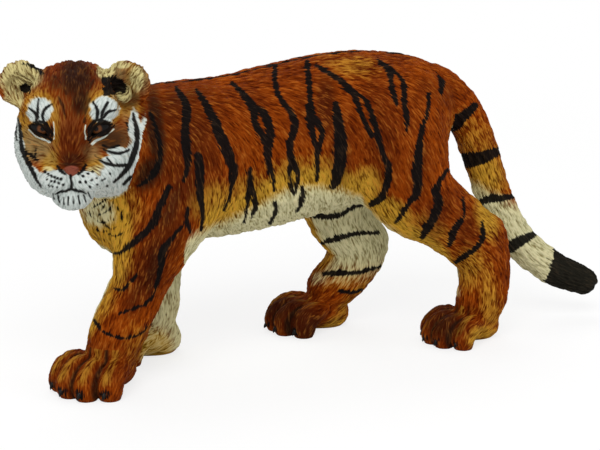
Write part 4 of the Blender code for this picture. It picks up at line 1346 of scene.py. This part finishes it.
def eye_paint():
    """Glossy eye: brown iris with a darker rim and spokes, and a round pupil. The attribute ring holds the
    distance from the gaze in degrees, and spoke the turn around it."""
    s = Shader("painted_eye")
    ring, spoke = s.attribute("ring"), s.attribute("spoke")
    fleck = s.noise(1800, 2, 0.6)
    rays = s.sums("MULTIPLY_ADD", s.sums("SINE", s.sums("MULTIPLY", spoke, 26.0)), 0.2, 0.4)
    iris = s.mix(s.sums("ADD", rays, s.sums("MULTIPLY", fleck, 0.3)), colour(70, 38, 18), colour(116, 68, 34))
    rim = s.step(ring, IRIS_DEGREES * 0.62, IRIS_DEGREES)
    iris = s.mix(rim, iris, INK)
    look = s.mix(s.step(ring, PUPIL_DEGREES + 4.0, PUPIL_DEGREES), iris, INK)
    s.links.new(look, s.surface.inputs["Base Color"])
    s.surface.inputs["Roughness"].default_value = 0.28
    s.surface.inputs["Specular IOR Level"].default_value = 0.12
    return s.material


def claw_paint():
    """Dark horn, lighter where noise wears it, with a soft gloss."""
    s = Shader("painted_claw")
    worn = s.noise(900, 3, 0.6)
    s.links.new(s.mix(s.step(worn, 0.5, 0.9), INK, colour(54, 42, 34)), s.surface.inputs["Base Color"])
    s.surface.inputs["Roughness"].default_value = 0.4
    s.surface.inputs["Specular IOR Level"].default_value = 0.15
    return s.material


# Meshes

def settle(points):
    """Points of the sculptor's frame as metres in the model's own frame, held inside the solid's box."""
    moved = (points + FRAME_SHIFT) * MM
    return np.clip(moved, np.array(CAD_LOW) + SKIN_MARGIN, np.array(CAD_HIGH) - SKIN_MARGIN)


def mesh_piece(name, points, faces, material, masks=None, normals=None):
    """An object of the given faces at the origin, with its masks as point attributes."""
    mesh = bpy.data.meshes.new(name)
    corners = faces.shape[1]
    mesh.vertices.add(len(points))
    mesh.vertices.foreach_set("co", np.ascontiguousarray(points, REAL).ravel())
    mesh.loops.add(faces.size)
    mesh.loops.foreach_set("vertex_index", np.ascontiguousarray(faces, np.int32).ravel())
    mesh.polygons.add(len(faces))
    mesh.polygons.foreach_set("loop_start", np.arange(0, faces.size, corners, dtype=np.int32))
    mesh.update(calc_edges=True)
    mesh.shade_smooth()
    for key, values in (masks or {}).items():
        kind, slot = ("FLOAT", "value") if values.ndim == 1 else ("FLOAT_VECTOR", "vector")
        data = mesh.attributes.new(key, kind, "POINT").data
        data.foreach_set(slot, np.ascontiguousarray(values, REAL).ravel())
    if normals is not None:
        mesh.normals_split_custom_set_from_vertices(normals)
    mesh.materials.append(material)
    piece = bpy.data.objects.new(name, mesh)
    bpy.context.scene.collection.objects.link(piece)
    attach(piece, "root")
    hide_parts("tiger")
    return piece


def split_skin(points, quads, of_quad, masks, material, labels):
    """One piece for each region of the skin, cut from one net, so that neighbours share their edge points and
    their normals."""
    normals = vertex_normals(points, quads)
    for number, label in enumerate(labels):
        chosen = quads[of_quad == number]
        used, faces = np.unique(chosen, return_inverse=True)
        faces = faces.reshape(-1, 4)
        own = {key: values[used] for key, values in masks.items()}
        mesh_piece(label, points[used], faces, material, own, normals[used])


def eye(label, side, material):
    """A cap of a sphere about the gaze: at ring angle a and turn t the point is
    centre + R (cos a gaze + sin a (cos t left + sin t up))."""
    left, gaze, up = facing(HEAD_TURN - side * EYE_SPREAD, HEAD_DIP + 2.0)
    rings = np.radians(np.linspace(0, EYE_CAP_DEGREES, 18))[1:]
    turns = np.linspace(0, 2 * np.pi, 48, endpoint=False)
    a, t = np.meshgrid(rings, turns, indexing="ij")
    around = np.cos(t)[..., None] * left + np.sin(t)[..., None] * up
    cap = np.cos(a)[..., None] * gaze + np.sin(a)[..., None] * around
    way = np.vstack([gaze[None], cap.reshape(-1, 3)])
    centre = head_place(side * EYE_SIDE, EYE_AHEAD, EYE_UP)
    count = len(turns)
    first = np.stack([np.zeros(count, int), 1 + np.arange(count), 1 + (np.arange(count) + 1) % count], 1)
    inner = (1 + np.arange(len(rings) - 1)[:, None] * count + np.arange(count)).ravel()
    after = (1 + np.arange(len(rings) - 1)[:, None] * count + (np.arange(count) + 1) % count).ravel()
    bands = np.vstack([np.stack([inner, inner + count, after + count], 1),
                       np.stack([inner, after + count, after], 1)])
    faces = np.vstack([first, bands])
    ring = np.concatenate([[0], np.degrees(a).ravel()])
    spoke = np.concatenate([[0], t.ravel()])
    points = settle(centre + EYE_RADIUS * way)
    mesh_piece(label, points, faces, material, {"ring": ring, "spoke": spoke})


def claws(material):
    """One curved horn at each toe: an oval section of half height r (1.02 - s)^0.7, three quarters as wide as
    high, with s from 0 to 1, carried along an arc that leaves the toe forwards and bends down. Both ends are
    closed."""
    s = np.linspace(0, 1, 7)
    turns = np.linspace(0, 2 * np.pi, 10, endpoint=False)
    points, faces = [], []
    for name, (_, _, turn, size, _) in PAWS.items():
        for side, ahead, splay in TOES:
            left, forward, up = facing(turn + splay)
            root = paw_place(name, side, ahead, CLAW_HEIGHT) + CLAW_AHEAD * size * forward
            bend = s * np.radians(CLAW_BEND_DEGREES)
            drop = (np.cos(bend) - 1)[:, None] * up * 0.9
            centre = root + CLAW_LENGTH * size * (np.sin(bend)[:, None] * forward + drop)
            outward = np.sin(bend)[:, None] * forward + np.cos(bend)[:, None] * up
            radius = (CLAW_RADIUS * size * (1.02 - s) ** 0.7)[:, None, None]
            rim = (np.cos(turns)[None, :, None] * left[None, None] * 0.75
                   + np.sin(turns)[None, :, None] * outward[:, None])
            rings = (centre[:, None] + radius * rim).reshape(-1, 3)
            base = sum(len(p) for p in points)
            count, rows = len(turns), len(s)
            here = (np.arange(rows - 1)[:, None] * count + np.arange(count)).ravel()
            beside = (np.arange(rows - 1)[:, None] * count + (np.arange(count) + 1) % count).ravel()
            tube = np.vstack([np.stack([here, here + count, beside + count], 1),
                              np.stack([here, beside + count, beside], 1)])
            foot, point = rows * count, rows * count + 1
            ring = np.arange(count)
            last = ring + (rows - 1) * count
            caps = np.vstack([np.stack([np.full(count, foot), ring, np.roll(ring, -1)], 1),
                              np.stack([np.full(count, point), np.roll(last, -1), last], 1)])
            points.append(np.vstack([rings, centre[:1], centre[-1:]]))
            faces.append(np.vstack([tube, caps]) + base)
    mesh_piece("claws", settle(np.vstack(points)), np.vstack(faces), material)


def studio():
    """A white floor with a faint shadow, a white world, and soft key, fill and top lights."""
    floor = Shader("studio_floor")
    seen = floor.nodes.new("ShaderNodeLightPath").outputs["Is Camera Ray"]
    reach = socket(floor.nodes, floor.links, "ShaderNodeVectorMath", {0: floor.place()}, 1,
                   operation="LENGTH")
    far = floor.sums("MULTIPLY", floor.step(reach, 0.1, 0.4, 0.75, 1.0), seen)
    shade = floor.sums("SUBTRACT", floor.step(seen, 0.0, 1.0, 0.8, 1.0), far)
    floor.links.new(shade, floor.surface.inputs["Base Color"])
    floor.surface.inputs["Emission Color"].default_value = (1, 1, 1, 1)
    floor.links.new(far, floor.surface.inputs["Emission Strength"])
    floor.surface.inputs["Specular IOR Level"].default_value = 0.0
    floor.surface.inputs["Roughness"].default_value = 0.9
    corners = [(x * FLOOR_HALF, y * FLOOR_HALF, 0) for x, y in ((-1, -1), (1, -1), (1, 1), (-1, 1))]
    mesh = bpy.data.meshes.new("floor")
    mesh.from_pydata(corners, [], [(0, 1, 2, 3)])
    mesh.materials.append(floor.material)
    piece = bpy.data.objects.new("floor", mesh)
    bpy.context.scene.collection.objects.link(piece)
    world = bpy.data.worlds.new("studio")
    bpy.context.scene.world = world
    world.use_nodes = True
    nodes, links = world.node_tree.nodes, world.node_tree.links
    ray = nodes.new("ShaderNodeLightPath")
    strength = nodes.new("ShaderNodeMapRange")
    links.new(ray.outputs["Is Camera Ray"], strength.inputs["Value"])
    strength.inputs["To Min"].default_value = WORLD_LIGHT
    strength.inputs["To Max"].default_value = 1.0
    nodes["Background"].inputs["Color"].default_value = (1, 1, 1, 1)
    links.new(strength.outputs[0], nodes["Background"].inputs["Strength"])
    for name, at, size, watts in LAMPS:
        lamp = bpy.data.lights.new(name, "AREA")
        lamp.size = size
        lamp.energy = watts
        light = bpy.data.objects.new(name, lamp)
        light.location = at
        light.rotation_euler = (Vector((0, 0, 0.03)) - Vector(at)).to_track_quat("-Z", "Y").to_euler()
        bpy.context.scene.collection.objects.link(light)


def camera():
    """The photograph's long lens, from the figurine's left and a little ahead of it."""
    eye_at, _, _, ahead = view_axes()
    lens = bpy.data.cameras.new("photograph")
    lens.lens = VIEW_LENS
    lens.sensor_width = FILM_WIDTH
    lens.clip_start = 0.01
    view = bpy.data.objects.new("photograph", lens)
    view.location = Vector((eye_at + FRAME_SHIFT) * MM)
    view.rotation_euler = Vector(ahead).to_track_quat("-Z", "Y").to_euler()
    bpy.context.scene.collection.objects.link(view)
    bpy.context.scene.camera = view


# The figurine, centred over the solid's box and standing on the floor, then its pieces and its light
points, quads, owner, masks, fine = skin()
low, high = points.min(0), points.max(0)
FRAME_SHIFT = (np.array(CAD_LOW) + np.array(CAD_HIGH)) / 2 / MM - (low + high) / 2
FRAME_SHIFT[2] = 0.0
camera()
coat, horn, iris = coat_paint(), claw_paint(), eye_paint()
labels = ("chest", "head", "left_fore_leg", "right_fore_leg", "left_hind_leg", "right_hind_leg", "tail",
          "haunches", "face")
owners = ("trunk", "head", "left_fore", "right_fore", "left_hind", "right_hind", "tail")
region = np.zeros(len(points), int)
for number, name in enumerate(owners):
    region[owner == name] = number
of_quad = region[quads].min(1)
of_quad[(of_quad == 0) & (points[quads[:, 0], 0] > WAIST_X)] = labels.index("haunches")
of_quad[fine] = labels.index("face")
split_skin(settle(points), quads, of_quad, masks, coat, labels)
for label, side in (("left_eye", 1), ("right_eye", -1)):
    eye(label, side, iris)
claws(horn)
studio()
bpy.context.scene.view_settings.view_transform = "Standard"
